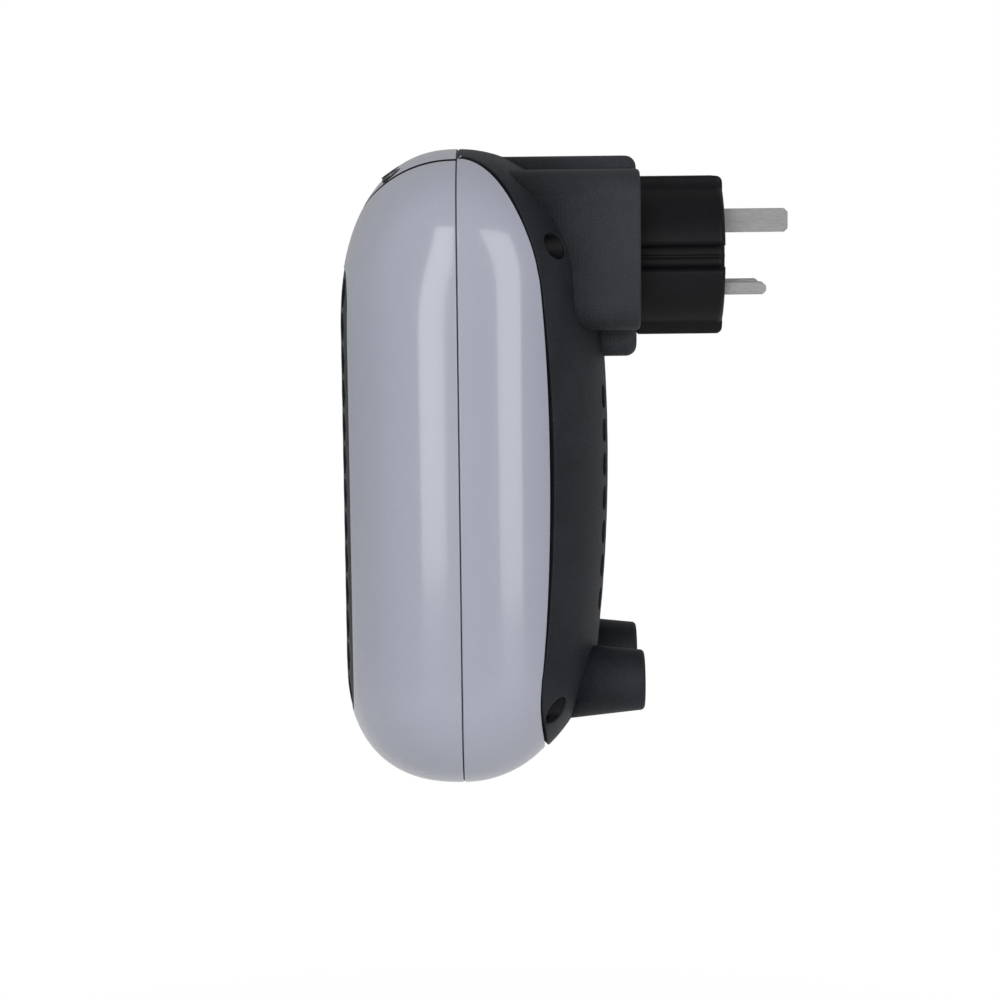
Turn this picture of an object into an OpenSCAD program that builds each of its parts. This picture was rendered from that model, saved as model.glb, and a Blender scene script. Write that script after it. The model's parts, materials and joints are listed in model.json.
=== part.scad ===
// Plug-in ceramic fan heater that hangs on its own wall plug.
// The origin is the centre of the plug's face, +Y points into the wall, +Z is up,
// and the outlet grille faces -Y. Millimetres.

/* [Body] */
// Height of the body
body_h = 213; // [210:1:240]
// Width of the body across its cheeks
body_w = 132; // [126:1:150]
// Depth of each half shell, and the radius of its round ends
shell_depth = 40; // [39:0.5:44]
// Depth behind the seam that the rear cover bulges to
bulge_depth = 49; // [46:0.5:54]
// Squareness of the cheeks, where 2 is an ellipse
cheek_power = 2.8; // [2.5:0.1:3.2]
// Wall of the moulded half shells
wall = 2.2; // [1.8:0.1:2.6]
// Gap along the seam between the two half shells
seam_gap = 0.3; // [0.2:0.05:0.5]
// Gap round a piece that drops into another
fit_gap = 0.3; // [0.2:0.05:0.4]

/* [Placement] */
// From the face of the plug to the seam
plug_reach = 88; // [84:1:100]
// From the axis of the plug up to the top of the body
plug_drop = 36; // [35:0.5:40]

/* [Outlet grille] */
// Width of the grille's opening
grille_w = 80; // [66:1:80]
// Height of the grille's opening
grille_h = 147; // [120:1:150]
// From the bottom of the body up to the grille's opening
grille_rise = 27; // [24:1:36]
// Corner radius of the grille's opening
grille_corner = 14; // [8:1:20]
// Width of one honeycomb cell across its flats
cell_size = 9.2; // [7:0.2:9.6]
// Spacing of the honeycomb cells
cell_pitch = 11; // [10.6:0.2:14]
// How far the hidden flange of the grille and of the control strip reaches behind the shell
flange_reach = 2; // [1:0.5:3]
// Thickness of that flange
flange_t = 1.6; // [1.2:0.1:2]

/* [Control strip] */
// Width of the strip
panel_w = 74; // [72:1:78]
// Corner radius of the strip's lower end, seen along the buttons
panel_corner = 34; // [28:1:35]
// Angle above the front horizon at which the strip starts
panel_start = 30; // [29:0.5:36]
// Shadow gap round the strip
panel_gap = 0.9; // [0.5:0.1:1.4]
// Angle above the front horizon that the buttons and the window face
control_angle = 56; // [52:1:60]
// Width of the display window
window_w = 24; // [18:1:25]
// Height of the display window
window_h = 10; // [8:0.5:12]
// Diameter of a button
button_d = 8; // [6:0.5:8]
// Spacing of the two buttons on each side of the window
button_pitch = 10; // [10:0.2:10.4]
// From the middle of the strip to the inner buttons
button_x = 17; // [17:0.1:17.4]
// Travel of a button
button_travel = 0.6; // [0.3:0.1:0.8]
// From the axis of the body's top curve out to the display board
display_board_r = 22.4; // [20:0.2:22.6]

/* [Rear cover] */
// Width of the cover where it is widest
cover_w = 116; // [112:1:118]
// Width of the cover at its waist
cover_waist_w = 109; // [104:1:112]
// From the bottom of the body up to the cover
cover_rise = 12; // [10:1:18]
// Wall of the cover
cover_wall = 2.5; // [2:0.1:3]
// Diameter of an air inlet hole
vent_d = 8; // [5:0.5:8.5]
// Spacing of the air inlet holes
vent_pitch = 11.4; // [10.8:0.2:12]
// Air inlet holes in each column
vent_rows = 7; // [3:1:7]
// From the middle of the body up to the highest air inlet hole
vent_top = 24.5; // [10:0.5:27]
// From the edge of the cover in to its screws
screw_inset = 8; // [8:0.5:12]
// From the top of the body down to the upper cover screws
top_screw_drop = 31; // [31:0.5:36]
// From the bottom of the body up to the lower cover screws
low_screw_rise = 31; // [30:0.5:36]
// Diameter of a screw well
well_d = 8.4; // [7.4:0.2:9]

/* [Feet] */
// Between the axes of the two feet
foot_spread = 52; // [46:1:54]
// From the bottom of the body up to the axes of the feet
foot_rise = 36; // [35:0.5:42]
// Diameter of a foot where it leaves the body
foot_root_d = 27.5; // [24:0.5:28]
// Diameter of a foot at its tip
foot_tip_d = 20; // [16:0.5:21]
// From the face of the plug back to the tips of the feet
foot_back = 27.5; // [24:0.5:30]

/* [Plug block] */
// Width of the plug block
block_w = 90; // [84:1:91]
// Height of the plug block
block_h = 52; // [50:1:54]
// Width of the lobes above and below the block
lobe_w = 38; // [32:1:44]
// Height over the lobes
lobe_h = 66.5; // [64:0.5:69]
// From the face of the plug back to the end of the block
block_back = 29; // [26:0.5:32]
// Diameter of the plug's boss
boss_d = 51.2; // [50:0.2:52]
// Width of the keys above and below the boss
key_w = 22; // [16:1:26]
// Height over the keys
key_h = 52.5; // [52.2:0.1:54]
// Height of the side notches
notch_h = 7.7; // [5:0.1:10]
// Depth of the side notches
notch_d = 4.1; // [2:0.1:4.5]
// Diameter of the neck that turns in the block
neck_d = 42; // [40:0.5:42.5]
// How far the plug turns each way, in degrees
swivel_limit = 90; // [45:5:90]

/* [Plug pins] */
// Centre to centre of the two poles, and from their line up to the earth pin
pin_spacing = 22.23; // [20:0.01:24]
// Thickness of the pins
pin_t = 4; // [3.5:0.05:4.5]
// Height of the earth pin
earth_h = 7.92; // [7:0.01:8.5]
// Length of the earth pin in front of the plug's face
earth_len = 22.73; // [20:0.01:25]
// Width of a pole pin
pole_w = 6.35; // [5.5:0.01:7]
// Length of a pole pin in front of the plug's face
pole_len = 14.3; // [14:0.1:20]

/* [Air path] */
// Side of the square duct
duct_size = 72; // [68:1:74]
// Wall of the duct
duct_wall = 2; // [1.5:0.1:2.4]
// Depth of the heating element
heater_depth = 16; // [14:0.5:17]
// Gap between the fan's tips and the duct
fan_gap = 2; // [1:0.5:5]
// Depth of the fan
fan_depth = 13.5; // [10:0.5:14]
// Number of fan blades
blade_count = 7; // [5:1:9]
// Diameter of the motor
motor_d = 27.5; // [24:0.5:30]
// Length of the motor
motor_len = 24; // [20:1:26]
// Diameter of the motor's shaft
shaft_d = 3; // [2.5:0.1:3.5]

/* [Main board] */
// Width of the board
board_w = 72; // [66:1:72]
// Height of the board
board_h = 52; // [50:1:53]
// From the middle of the body down to the top of the board
board_drop = 42; // [41.5:0.5:43]
// Thickness of both boards
board_t = 1.6; // [1:0.1:2]

/* [Fasteners] */
// Diameter of the cover screws
cover_screw_d = 3; // [2.5:0.1:3.5]
// Diameter of all other screws
small_screw_d = 2.4; // [2:0.1:2.8]

/* [Hidden] */
$fn = 64;

cheek_grey = [0.60, 0.61, 0.66];
black = [0.10, 0.10, 0.11];
pin_metal = [0.58, 0.58, 0.59];
steel = [0.70, 0.71, 0.72];
board_green = [0.10, 0.35, 0.20];
cream = [0.86, 0.83, 0.74];

// Thin overlap that lets a cut run past a face
past = 1;
// Steps along the curve of a cheek
cheek_steps = 24;
half_w = body_w / 2;
half_h = body_h / 2;
half_straight = half_h - shell_depth;
body_z = plug_drop - half_h;
// Place of the plug's axis and of the feet in the body's own frame
plug_z = -body_z;
foot_z = foot_rise - half_h;
block_end = plug_reach - block_back - seam_gap / 2;
foot_end = plug_reach - foot_back - seam_gap / 2;

grille_z = grille_rise + grille_h / 2 - half_h;
grille_sunk = 0.2;
flange_gap = 0.25;
flange_inset = wall + flange_gap;
flange_inner = flange_inset + flange_t;
// Angle that the top of the grille's flange reaches, and the angles of the strip's gap and lip
flange_top_z = grille_z + grille_h / 2 + flange_reach;
flange_top_angle = asin((flange_top_z - half_straight) / reach(grille_w / 2 - grille_corner, flange_inner));
strip_edge = panel_gap / shell_depth * 180 / PI;
strip_lip = (panel_gap + flange_reach) / shell_depth * 180 / PI;
// The strip starts at its own angle, or clear of the grille's flange where that reaches higher
strip_start = max(panel_start, flange_top_angle + strip_lip + strip_edge);
// Half width of the strip's hidden lip
lip_half = panel_w / 2 + panel_gap + flange_reach;

// Outline of the cover: drawn in at the waist, with round corners that pass the top and end at the bottom
cover_half = cover_w / 2;
cover_bend_top = half_straight + 1.5;
cover_bend_low = 2.5 - half_straight;
cover_mid = (cover_bend_top + cover_bend_low) / 2;
cover_span = (cover_bend_top - cover_bend_low) / 2;
cover_over = 1.5;
cover_top_power = 2.7;
cover_low = cover_rise - half_h;
cover_low_power = 2.4;
// The bulge's straight stretch, drawn in from the ends of the shell's
bulge_top_drop = 28;
bulge_low_rise = 22;
bulge_top = half_straight - bulge_top_drop;
bulge_low = bulge_low_rise - half_straight;
// Half width at which an ellipse of the bulge's depth meets the shell at the cover's edge
bulge_half = cover_half / sqrt(1 - pow(reach(cover_half, 0) / bulge_depth, 2));

screw_x = cover_half - screw_inset;
screw_z = [half_h - top_screw_drop, low_screw_rise - half_h];
lug_t = 3.5;
lug_w = 13;
well_wall = 1.9;
well_floor_y = lug_t + fit_gap;
well_floor_t = 2.5;
post_d = 8.4;
pilot_depth = 14;
screw_free = 0.3;
// How far the small screws hold in what they are driven into
duct_hold = 6;
bracket_hold = 5;
motor_hold = 4;
retainer_hold = 7;
screw_grip = 0.02;

vent_columns = 5;
block_corner = 9;
// How far the block's middle is above the plug's axis
block_up = 3;
// How far behind the seam the block's walls start, under the cover's skin
block_root = 13;
lobe_corner = 6;
block_wall = 2.5;
block_end_wall = 3;
neck_gap = 0.08;
boss_back = block_back - fit_gap;
neck_back = block_back + block_end_wall + fit_gap;
retainer_t = 2.5;
retainer_back = neck_back + retainer_t;
stop_r = 0.9;
stop_gap = 0.2;
retainer_overlap = 2.5;
retainer_step = 2;
retainer_low_r = neck_d / 2 + retainer_overlap;
retainer_high_r = retainer_low_r + retainer_step;
stop_at = retainer_low_r + stop_r + stop_gap;
// Angle between the stop's axis and the shoulder that meets it at the limit of the swivel
stop_angle = asin((stop_r + stop_gap) / stop_at);
retainer_screw_inset = 6;
retainer_screw_x = neck_d / 2 - retainer_screw_inset;
retainer_screw_z = 4;
pin_gap = 0.05;
pin_tail = 6;
pin_chamfer = 1.2;

duct_half = duct_size / 2;
duct_front = reach(duct_half, flange_inner) - 2 * fit_gap;
duct_boss_out = 11;
duct_boss_drop = 12;
duct_boss_x = duct_half + duct_boss_out;
duct_boss_z = duct_half - duct_boss_drop;
duct_boss_d = 8;
ear_t = 3;
ear_y = -7;
ear_w = 10;
duct_inner = duct_size - 2 * duct_wall;
fan_d = duct_inner - 2 * fan_gap;
heater_recess = 1;
heater_y = heater_recess - duct_front;
heater_side = duct_inner - 2 * fit_gap;
heater_rim = 3;
bar_h = 7;
heater_core = heater_side - 2 * heater_rim;
fan_room = 4;
fan_y = heater_y + heater_depth + fan_room;
duct_rear = fan_y + fan_depth + fan_room;
bracket_t = 3;
bracket_hub_d = 24;
bracket_hole_inset = 5;
bracket_hole = duct_half - bracket_hole_inset;
motor_y = duct_rear + bracket_t;
motor_boss_d = 8;
motor_screw_x = 8.5;
hub_d = 26;
blade_t = 1.6;
blade_pitch = 40;
shaft_gap = 0.05;
slot_x = 20;
cutout_size = [16, 8, 4.5];
cutout_cap_d = 5;
cutout_cap_h = 1;
fuse_d = 4;
fuse_l = 13;
fuse_wire_d = 1;
fuse_wire_l = 2;

board_y = -8;
board_top = -board_drop;
board_low = board_top - board_h;
board_edge = 5;
// Fixing holes of the right half; the lower one lies further in, where the shell curves
board_hole = [
  [board_w / 2 - board_edge, board_top - board_edge],
  [board_w / 2 - 12, board_low + board_edge]];
board_face = board_y + board_t;

relay_size = [15.5, 15.5, 19];
relay_at = [-20, 22];
film_size = [18, 14, 8.5];
film_at = [17, 25];
can_d = 10;
can_h = 16;
can_at = [14, 12];
terminal_size = [32, 11, 10];
terminal_pitch = 10;
terminal_rise = 9;
terminal_depth = 5;
terminal_face = board_face + terminal_size[1];

// Leads: the pair and earth from the pins, the thin ones, and where they end
mains_d = 3;
thin_d = 2.4;
signal_d = 3.2;
lead_gap = 0.2;
tail_y = plug_reach - retainer_back - pin_tail - lead_gap;
lead_y = terminal_face - terminal_depth + 2 * lead_gap;

window_gap = 0.12;
button_gap = 0.15;
button_proud = 0.3;
button_flange = 0.9;
button_flange_t = 1;
panel_screw = [button_x + button_pitch / 2, 7.4];
panel_boss_d = 4.6;
// The controls face their own angle, or more where their lower screws would meet the strip's edge
boss_angle = asin((panel_screw[1] + panel_boss_d / 2) / (shell_depth - flange_inner));
control_at = max(control_angle, strip_start + boss_angle);
panel_screw_len = 6;
display_board_size = [77, 20];
display_top = display_board_r + board_t;
tact_size = 6;
tact_h = 3.5;
plunger_d = 3.4;
plunger_top = display_top + tact_h + 1;
led_h = 9;

// Depth of the shell at a distance x from the middle, inset from the outer surface
function reach(x, inset) =
  (shell_depth - inset) * pow(1 - pow(min(1, abs(x) / (half_w - inset)), cheek_power), 1 / cheek_power);

// Depth of the shell at a point of its outline
function depth_at(x, z, inset) =
  sqrt(max(0, pow(reach(x, inset), 2) - pow(max(0, abs(z) - half_straight), 2)));

// Points along the cheek curve, from x = limit round to x = -limit
function cheek_curve(inset, limit) =
  let (
    w = half_w - inset,
    d = shell_depth - inset,
    first = acos(pow(min(1, limit / w), cheek_power / 2))
  )
  [for (i = [0:cheek_steps])
    let (
      a = first + (180 - 2 * first) * i / cheek_steps,
      c = cos(a),
      s = max(0, sin(a))
    )
    [w * sign(c) * pow(abs(c), 2 / cheek_power), d * pow(s, 2 / cheek_power)]];

function turned(points) = [for (p = points) [p[1], p[0]]];
function reversed(points) = [for (i = [len(points) - 1:-1:0]) points[i]];

// Half width of the cover at a height between its bends
function cover_side(z) =
  cover_half - (cover_half - cover_waist_w / 2) * (1 - pow((z - cover_mid) / cover_span, 2));

// Right-hand edge of the cover's outline from the bottom to past the top, grown by a gap
function cover_edge(grow) = concat(
  [for (i = [0:12])
    let (a = 90 - 90 * i / 12)
    [(cover_half + grow) * pow(cos(a), 2 / cover_low_power),
      cover_bend_low - (cover_bend_low - cover_low + grow) * pow(sin(a), 2 / cover_low_power)]],
  [for (i = [1:7])
    let (z = cover_mid + cover_span * (i / 4 - 1))
    [cover_side(z) + grow, z]],
  [for (i = [0:11])
    let (a = 90 * i / 12)
    [(cover_half + grow) * pow(cos(a), 2 / cover_top_power),
      cover_bend_top + (half_h + cover_over - cover_bend_top + grow) * pow(sin(a), 2 / cover_top_power)]]);

// Depth of the button's flange under the strip
function flange_top(x) =
  let (r = button_d / 2 + button_flange)
  sqrt(pow(reach(abs(x) + r, flange_inner), 2) - r * r) - button_gap;

// Places of the four buttons across the strip
function button_place(i) = [-1, -1, 1, 1][i] * (button_x + [1, 0, 0, 1][i] * button_pitch);

// Unit vector along v
function unit(v) = v / norm(v);

// Frames that pieces are placed in

// The body's frame: the middle of the seam plane
module in_body() { translate([0, -plug_reach, body_z]) children(); }

// Rear half, with +Y outward from the seam
module rear_side() { translate([0, seam_gap / 2, 0]) children(); }

// Front half, modelled as a rear half and turned to the front
module front_side() { translate([0, -seam_gap / 2, 0]) mirror([0, 1, 0]) children(); }

// The axis of the top end's curve, with angle 0 outward and 90 up
module end_axis() { translate([0, 0, half_straight]) rotate([90, 0, 90]) children(); }

// The control strip's frame: +Z along the buttons, +X across the strip
module control_frame() {
  end_axis() rotate([0, 0, control_at]) rotate([0, 90, 0]) rotate(180) children();
}

// An outline in X and Z, carried along +Y
module outward(depth) { mirror([0, 1, 0]) rotate([90, 0, 0]) linear_extrude(depth) children(); }

// A child's +Z turned to +Y
module facing_rear() { rotate([-90, 0, 0]) children(); }

// Both sides of the middle plane
module both_sides() { for (side = [0, 1]) mirror([side, 0, 0]) children(); }

// Shapes that several pieces share

module rounded_rect(w, h, r) {
  square([w - 2 * r, h], center = true);
  square([w, h - 2 * r], center = true);
  for (x = [-1, 1], z = [-1, 1]) translate([x * (w / 2 - r), z * (h / 2 - r)]) circle(r);
}

// Sector of the body's round end, between two insets and two angles
module end_strip(limit, outer, inner, from, to) {
  end_axis() rotate(from) rotate_extrude(angle = to - from)
    polygon(concat(turned(cheek_curve(outer, limit)), reversed(turned(cheek_curve(inner, limit)))));
}

// Solid quarter of the body's round end
module end_quarter(inset, limit, from = 0) {
  edge = turned(cheek_curve(inset, limit));
  end_axis() rotate(from) rotate_extrude(angle = 90 - from)
    polygon(concat([[0, edge[0][1]]], edge, [[0, -edge[0][1]]]));
}

// Solid half of the pill-shaped body, set in from its outer surface
module half_pill(inset = 0) {
  linear_extrude(2 * half_straight, center = true) polygon(cheek_curve(inset, half_w));
  for (end = [0, 1]) mirror([0, 0, end])
    end_axis() rotate_extrude(angle = 90) polygon(turned(cheek_curve(inset, half_w)));
}

// Outline of the pill at the seam
module pill_outline(inset) {
  top = [for (p = cheek_curve(inset, half_w)) [p[0], half_straight + p[1]]];
  polygon(concat(top, [for (p = reversed(top)) [p[0], -p[1]]]));
}

// The hollow of a half shell, run past the seam
module half_hollow(inset) {
  half_pill(inset);
  translate([0, -past, 0]) outward(past) pill_outline(inset);
}

module cover_outline(grow) {
  right = cover_edge(grow);
  polygon(concat(right, [for (p = reversed(right)) [-p[0], p[1]]]));
}

// Screw with its head's seat at the origin and its shank along -Z
module screw(d, length, slotted = false) {
  head_d = 1.9 * d;
  head_h = 0.7 * d;
  slot_w = 0.25 * d;
  translate([0, 0, -length]) cylinder(d = d, h = length + head_h / 2);
  difference() {
    cylinder(d = head_d, h = head_h);
    if (slotted) for (turn = [0, 90])
      rotate(turn) translate([-0.3 * head_d, -slot_w / 2, head_h / 2]) cube([0.6 * head_d, slot_w, head_h]);
  }
}

// Tube along a route
module tube(route, d, sides = 8) {
  last = len(route) - 1;
  rings = [for (i = [0:last])
    let (
      along = unit(route[min(last, i + 1)] - route[max(0, i - 1)]),
      n = unit(cross([1, 0, 0], along)),
      b = cross(along, n)
    )
    for (k = [0:sides - 1]) route[i] + d / 2 * (n * cos(360 * k / sides) + b * sin(360 * k / sides))];
  walls = [for (i = [0:last - 1], k = [0:sides - 1])
    let (next = (k + 1) % sides)
    each [
      [i * sides + k, i * sides + next, (i + 1) * sides + next],
      [i * sides + k, (i + 1) * sides + next, (i + 1) * sides + k]]];
  first_cap = [for (k = [1:sides - 2]) [0, k + 1, k]];
  last_cap = [for (k = [1:sides - 2]) [last * sides, last * sides + k, last * sides + k + 1]];
  polyhedron(rings, [for (f = concat(walls, first_cap, last_cap)) reversed(f)]);
}

// Half shells and what is set in them

module grille_outline(grow) {
  translate([0, grille_z]) rounded_rect(grille_w + 2 * grow, grille_h + 2 * grow, grille_corner + grow);
}

module front_posts() {
  both_sides() {
    for (z = screw_z) translate([screw_x, 0, z]) facing_rear() cylinder(d = post_d, h = shell_depth);
    for (z = [-1, 1]) translate([duct_boss_x, ear_t - ear_y + fit_gap - seam_gap / 2, z * duct_boss_z])
      facing_rear() cylinder(d = duct_boss_d, h = shell_depth);
    for (p = board_hole) translate([p[0], -board_y + fit_gap - seam_gap / 2, p[1]])
      facing_rear() cylinder(d = duct_boss_d, h = shell_depth);
  }
}

module front_pilots() {
  both_sides() {
    for (z = screw_z) translate([screw_x, -past, z])
      facing_rear() cylinder(d = cover_screw_d + 2 * screw_grip, h = pilot_depth);
    for (z = [-1, 1]) translate([duct_boss_x, 0, z * duct_boss_z])
      facing_rear() cylinder(d = small_screw_d + 2 * screw_grip, h = ear_t - ear_y + pilot_depth / 2);
    for (p = board_hole) translate([p[0], 0, p[1]])
      facing_rear() cylinder(d = small_screw_d + 2 * screw_grip, h = -board_y + pilot_depth / 2);
  }
}

module front_housing() {
  color(cheek_grey) in_body() front_side() difference() {
    union() {
      difference() {
        half_pill();
        half_hollow(wall);
      }
      intersection() {
        half_pill(wall / 2);
        front_posts();
      }
    }
    outward(2 * shell_depth) grille_outline(0);
    intersection() {
      end_strip(lip_half, -past, shell_depth / 2, strip_start - 2 * strip_lip, 90 + strip_start);
      strip_shape(panel_gap);
    }
    front_pilots();
  }
}

module front_grille() {
  column_step = cell_pitch * cos(30);
  edge = cell_size / 2 + 4;
  columns = floor((grille_w / 2 - edge) / column_step);
  rows = floor((grille_h / 2 - edge) / cell_pitch + 0.5);
  corner = [grille_w / 2 - grille_corner, grille_h / 2 - grille_corner];
  reach_in = grille_corner - cell_size * 0.58 - 1.5;
  color(black) in_body() front_side() difference() {
    union() {
      intersection() {
        difference() {
          half_pill(grille_sunk);
          half_hollow(flange_inner);
        }
        outward(2 * shell_depth) grille_outline(-fit_gap);
      }
      intersection() {
        difference() {
          half_pill(flange_inset);
          half_hollow(flange_inner);
        }
        outward(2 * shell_depth) grille_outline(flange_reach);
      }
    }
    outward(2 * shell_depth) translate([0, grille_z])
      for (c = [-columns:columns], r = [-rows:rows]) {
        x = c * column_step;
        z = (r + ((abs(c) + 1) % 2) / 2) * cell_pitch;
        beyond = [max(0, abs(x) - corner[0]), max(0, abs(z) - corner[1])];
        if (norm(beyond) < reach_in) translate([x, z]) circle(d = cell_size / cos(30), $fn = 6);
      }
  }
}

module rear_housing() {
  color(cheek_grey) in_body() rear_side() {
    difference() {
      half_pill();
      half_hollow(wall);
      translate([0, -past, 0]) outward(2 * shell_depth) cover_outline(fit_gap);
    }
    both_sides() for (z = screw_z) difference() {
      intersection() {
        half_pill(wall / 2);
        translate([screw_x - lug_w / 2, 0, z - lug_w / 2]) cube([half_w, lug_t, lug_w]);
      }
      translate([screw_x, -past, z])
        facing_rear() cylinder(d = cover_screw_d + 2 * screw_free, h = lug_t + 2 * past);
    }
  }
}

// The control strip and its display

// Outline of the strip along the buttons, grown by a gap: open at the seam and round at its lower end
module strip_shape(grow) {
  half = panel_w / 2 + grow;
  r = min(panel_corner, panel_w / 2 - 1) + grow;
  low = shell_depth * sin(control_at - strip_start - strip_edge) + grow;
  control_frame() linear_extrude(2 * shell_depth) {
    translate([-half, -2 * shell_depth]) square([2 * half, 2 * shell_depth + low - r]);
    translate([r - half, -2 * shell_depth]) square([2 * (half - r), 2 * shell_depth + low]);
    for (x = [-1, 1]) translate([x * (half - r), low - r]) circle(r, $fn = 128);
  }
}

module panel_places() {
  for (x = [-1, 1], y = [-1, 1]) translate([x * panel_screw[0], y * panel_screw[1], 0]) children();
}

module control_panel() {
  color(cheek_grey) in_body() front_side() difference() {
    union() {
      intersection() {
        end_strip(lip_half, 0, flange_inset + flange_t / 2, strip_start - 2 * strip_lip, 90);
        strip_shape(0);
      }
      intersection() {
        end_strip(lip_half + past, flange_inset, flange_inner, strip_start - 2 * strip_lip,
          90 - strip_edge);
        strip_shape(panel_gap + flange_reach);
      }
      intersection() {
        end_quarter(wall, panel_w / 2);
        control_frame() panel_places() translate([0, 0, display_top])
          cylinder(d = panel_boss_d, h = shell_depth);
      }
    }
    control_frame() {
      translate([-window_w / 2, -window_h / 2, display_top]) cube([window_w, window_h, shell_depth]);
      for (i = [0:3]) translate([button_place(i), 0, display_top])
        cylinder(d = button_d + 2 * button_gap, h = shell_depth);
      panel_places() translate([0, 0, display_top - past])
        cylinder(d = small_screw_d + 2 * screw_grip, h = panel_screw_len + past);
    }
  }
}

module display_window() {
  color([0.05, 0.05, 0.06]) in_body() front_side() intersection() {
    end_strip(window_w, 0, flange_inner, strip_start, 90);
    control_frame() translate([window_gap - window_w / 2, window_gap - window_h / 2, display_top])
      cube([window_w - 2 * window_gap, window_h - 2 * window_gap, shell_depth]);
  }
}

module button(i) {
  x = button_place(i);
  top = flange_top(x);
  low = plunger_top + button_travel + button_gap;
  color(black) in_body() front_side() {
    intersection() {
      end_quarter(-button_proud, panel_w / 2);
      control_frame() translate([x, 0, top - button_flange_t / 2]) cylinder(d = button_d, h = shell_depth);
    }
    control_frame() translate([x, 0, top - button_flange_t])
      cylinder(d = button_d + 2 * button_flange, h = button_flange_t);
    control_frame() translate([x, 0, low]) cylinder(d = plunger_d, h = top - low);
  }
}

module power_button() { button(0); }
module timer_button() { button(1); }
module cooler_button() { button(2); }
module warmer_button() { button(3); }

module display_board() {
  color(board_green) in_body() front_side() control_frame() difference() {
    translate([-display_board_size[0] / 2, -display_board_size[1] / 2, display_board_r])
      cube([display_board_size[0], display_board_size[1], board_t]);
    panel_places() translate([0, 0, display_board_r - past])
      cylinder(d = small_screw_d + 2 * screw_free, h = board_t + 2 * past);
  }
}

module led_display() {
  color([0.85, 0.85, 0.83]) in_body() front_side() control_frame()
    translate([1 - window_w / 2, 1 - window_h / 2, display_top]) cube([window_w - 2, window_h - 2, led_h]);
}

module tact_switches() {
  color([0.15, 0.15, 0.16]) in_body() front_side() control_frame()
    for (i = [0:3]) translate([button_place(i), 0, display_top]) {
      translate([-tact_size / 2, -tact_size / 2, 0]) cube([tact_size, tact_size, tact_h]);
      cylinder(d = plunger_d, h = plunger_top - display_top);
    }
}

module panel_screws() {
  color(steel) in_body() front_side() control_frame()
    panel_places() translate([0, 0, display_board_r])
      mirror([0, 0, 1]) screw(small_screw_d, panel_screw_len);
}

// The rear cover, its block and its feet

module bulge_profile(inset) {
  d = bulge_depth - inset;
  w = bulge_half - inset;
  polygon(concat(
    [[-cover_half, 0], [cover_half, 0]],
    [for (i = [0:16])
      let (x = cover_half * (1 - i / 8))
      [x, d * sqrt(1 - pow(x / w, 2))]]));
}

// Convex half body under the cover's skin
module cover_form(inset) {
  hull() {
    translate([0, 0, bulge_low]) linear_extrude(bulge_top - bulge_low) bulge_profile(inset);
    for (end = [0, 1]) mirror([0, 0, end]) end_quarter(inset, cover_half, $fn = 40);
  }
}

module block_outline(inset) {
  translate([0, block_up]) rounded_rect(block_w - 2 * inset, block_h - 2 * inset, block_corner - inset);
  rounded_rect(lobe_w - 2 * inset, lobe_h - 2 * inset, lobe_corner - inset);
}

module foot_cone(inset, start, end) {
  slope = (foot_root_d - foot_tip_d) / 2 / (foot_end - bulge_depth / 2);
  r = foot_tip_d / 2 - inset;
  translate([foot_spread / 2, start, foot_z]) facing_rear()
    cylinder(r1 = r + slope * (foot_end - start), r2 = r + slope * (foot_end - end), h = end - start);
}

module cover_wells() {
  both_sides() for (z = screw_z) translate([screw_x, well_floor_y, z])
    facing_rear() cylinder(d = well_d + 2 * well_wall, h = 2 * shell_depth);
}

module vents() {
  step = vent_pitch * cos(30);
  for (c = [0:vent_columns - 1], r = [0:vent_rows - 1]) {
    place = c - (vent_columns - 1) / 2;
    z = vent_top - (r + (abs(place) % 2) / 2) * vent_pitch;
    translate([place * step, bulge_depth / 2, z]) facing_rear() cylinder(d = vent_d, h = bulge_depth);
  }
}

module rear_cover() {
  color(black) in_body() rear_side() difference() {
    union() {
      intersection() {
        cover_form(0);
        outward(2 * shell_depth) cover_outline(0);
      }
      translate([0, block_root, plug_z]) outward(block_end - block_root) block_outline(0);
      both_sides() foot_cone(0, bulge_depth / 2, foot_end);
    }
    difference() {
      union() {
        cover_form(cover_wall);
        translate([0, -past, 0]) outward(past)
          square([2 * cover_half, 2 * half_h - 2 * cover_wall], center = true);
        translate([0, past, plug_z]) outward(block_end - block_end_wall - past) block_outline(block_wall);
        both_sides() foot_cone(cover_wall, bulge_depth / 2 - past, foot_end - cover_wall);
      }
      cover_wells();
      translate([0, block_end - block_end_wall - retainer_t - 2 * fit_gap, plug_z - stop_at])
        facing_rear() cylinder(r = stop_r, h = block_end_wall + retainer_t);
    }
    both_sides() for (z = screw_z) {
      translate([screw_x, well_floor_y + well_floor_t, z])
        facing_rear() cylinder(d = well_d, h = 2 * shell_depth);
      translate([screw_x, 0, z])
        facing_rear() cylinder(d = cover_screw_d + 2 * screw_free, h = shell_depth);
    }
    translate([0, block_end - 2 * block_end_wall, plug_z])
      facing_rear() cylinder(d = neck_d + 2 * neck_gap, h = 3 * block_end_wall);
    vents();
  }
}

module cover_screws() {
  seat = well_floor_y + well_floor_t;
  color(steel) in_body() rear_side() both_sides()
    for (z = screw_z) translate([screw_x, seat, z])
      facing_rear() screw(cover_screw_d, seat + seam_gap + pilot_depth - 3, slotted = true);
}

// The wall plug

module boss_outline() {
  ridge_w = 1.2;
  ridge_h = 0.8;
  difference() {
    union() {
      circle(d = boss_d);
      square([key_w, key_h], center = true);
    }
    both_sides() difference() {
      translate([boss_d / 2 - notch_d, -notch_h / 2]) square([boss_d, notch_h]);
      translate([boss_d / 2 - notch_d - past, -ridge_w / 2]) square([ridge_h + past, ridge_w]);
    }
  }
}

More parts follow.
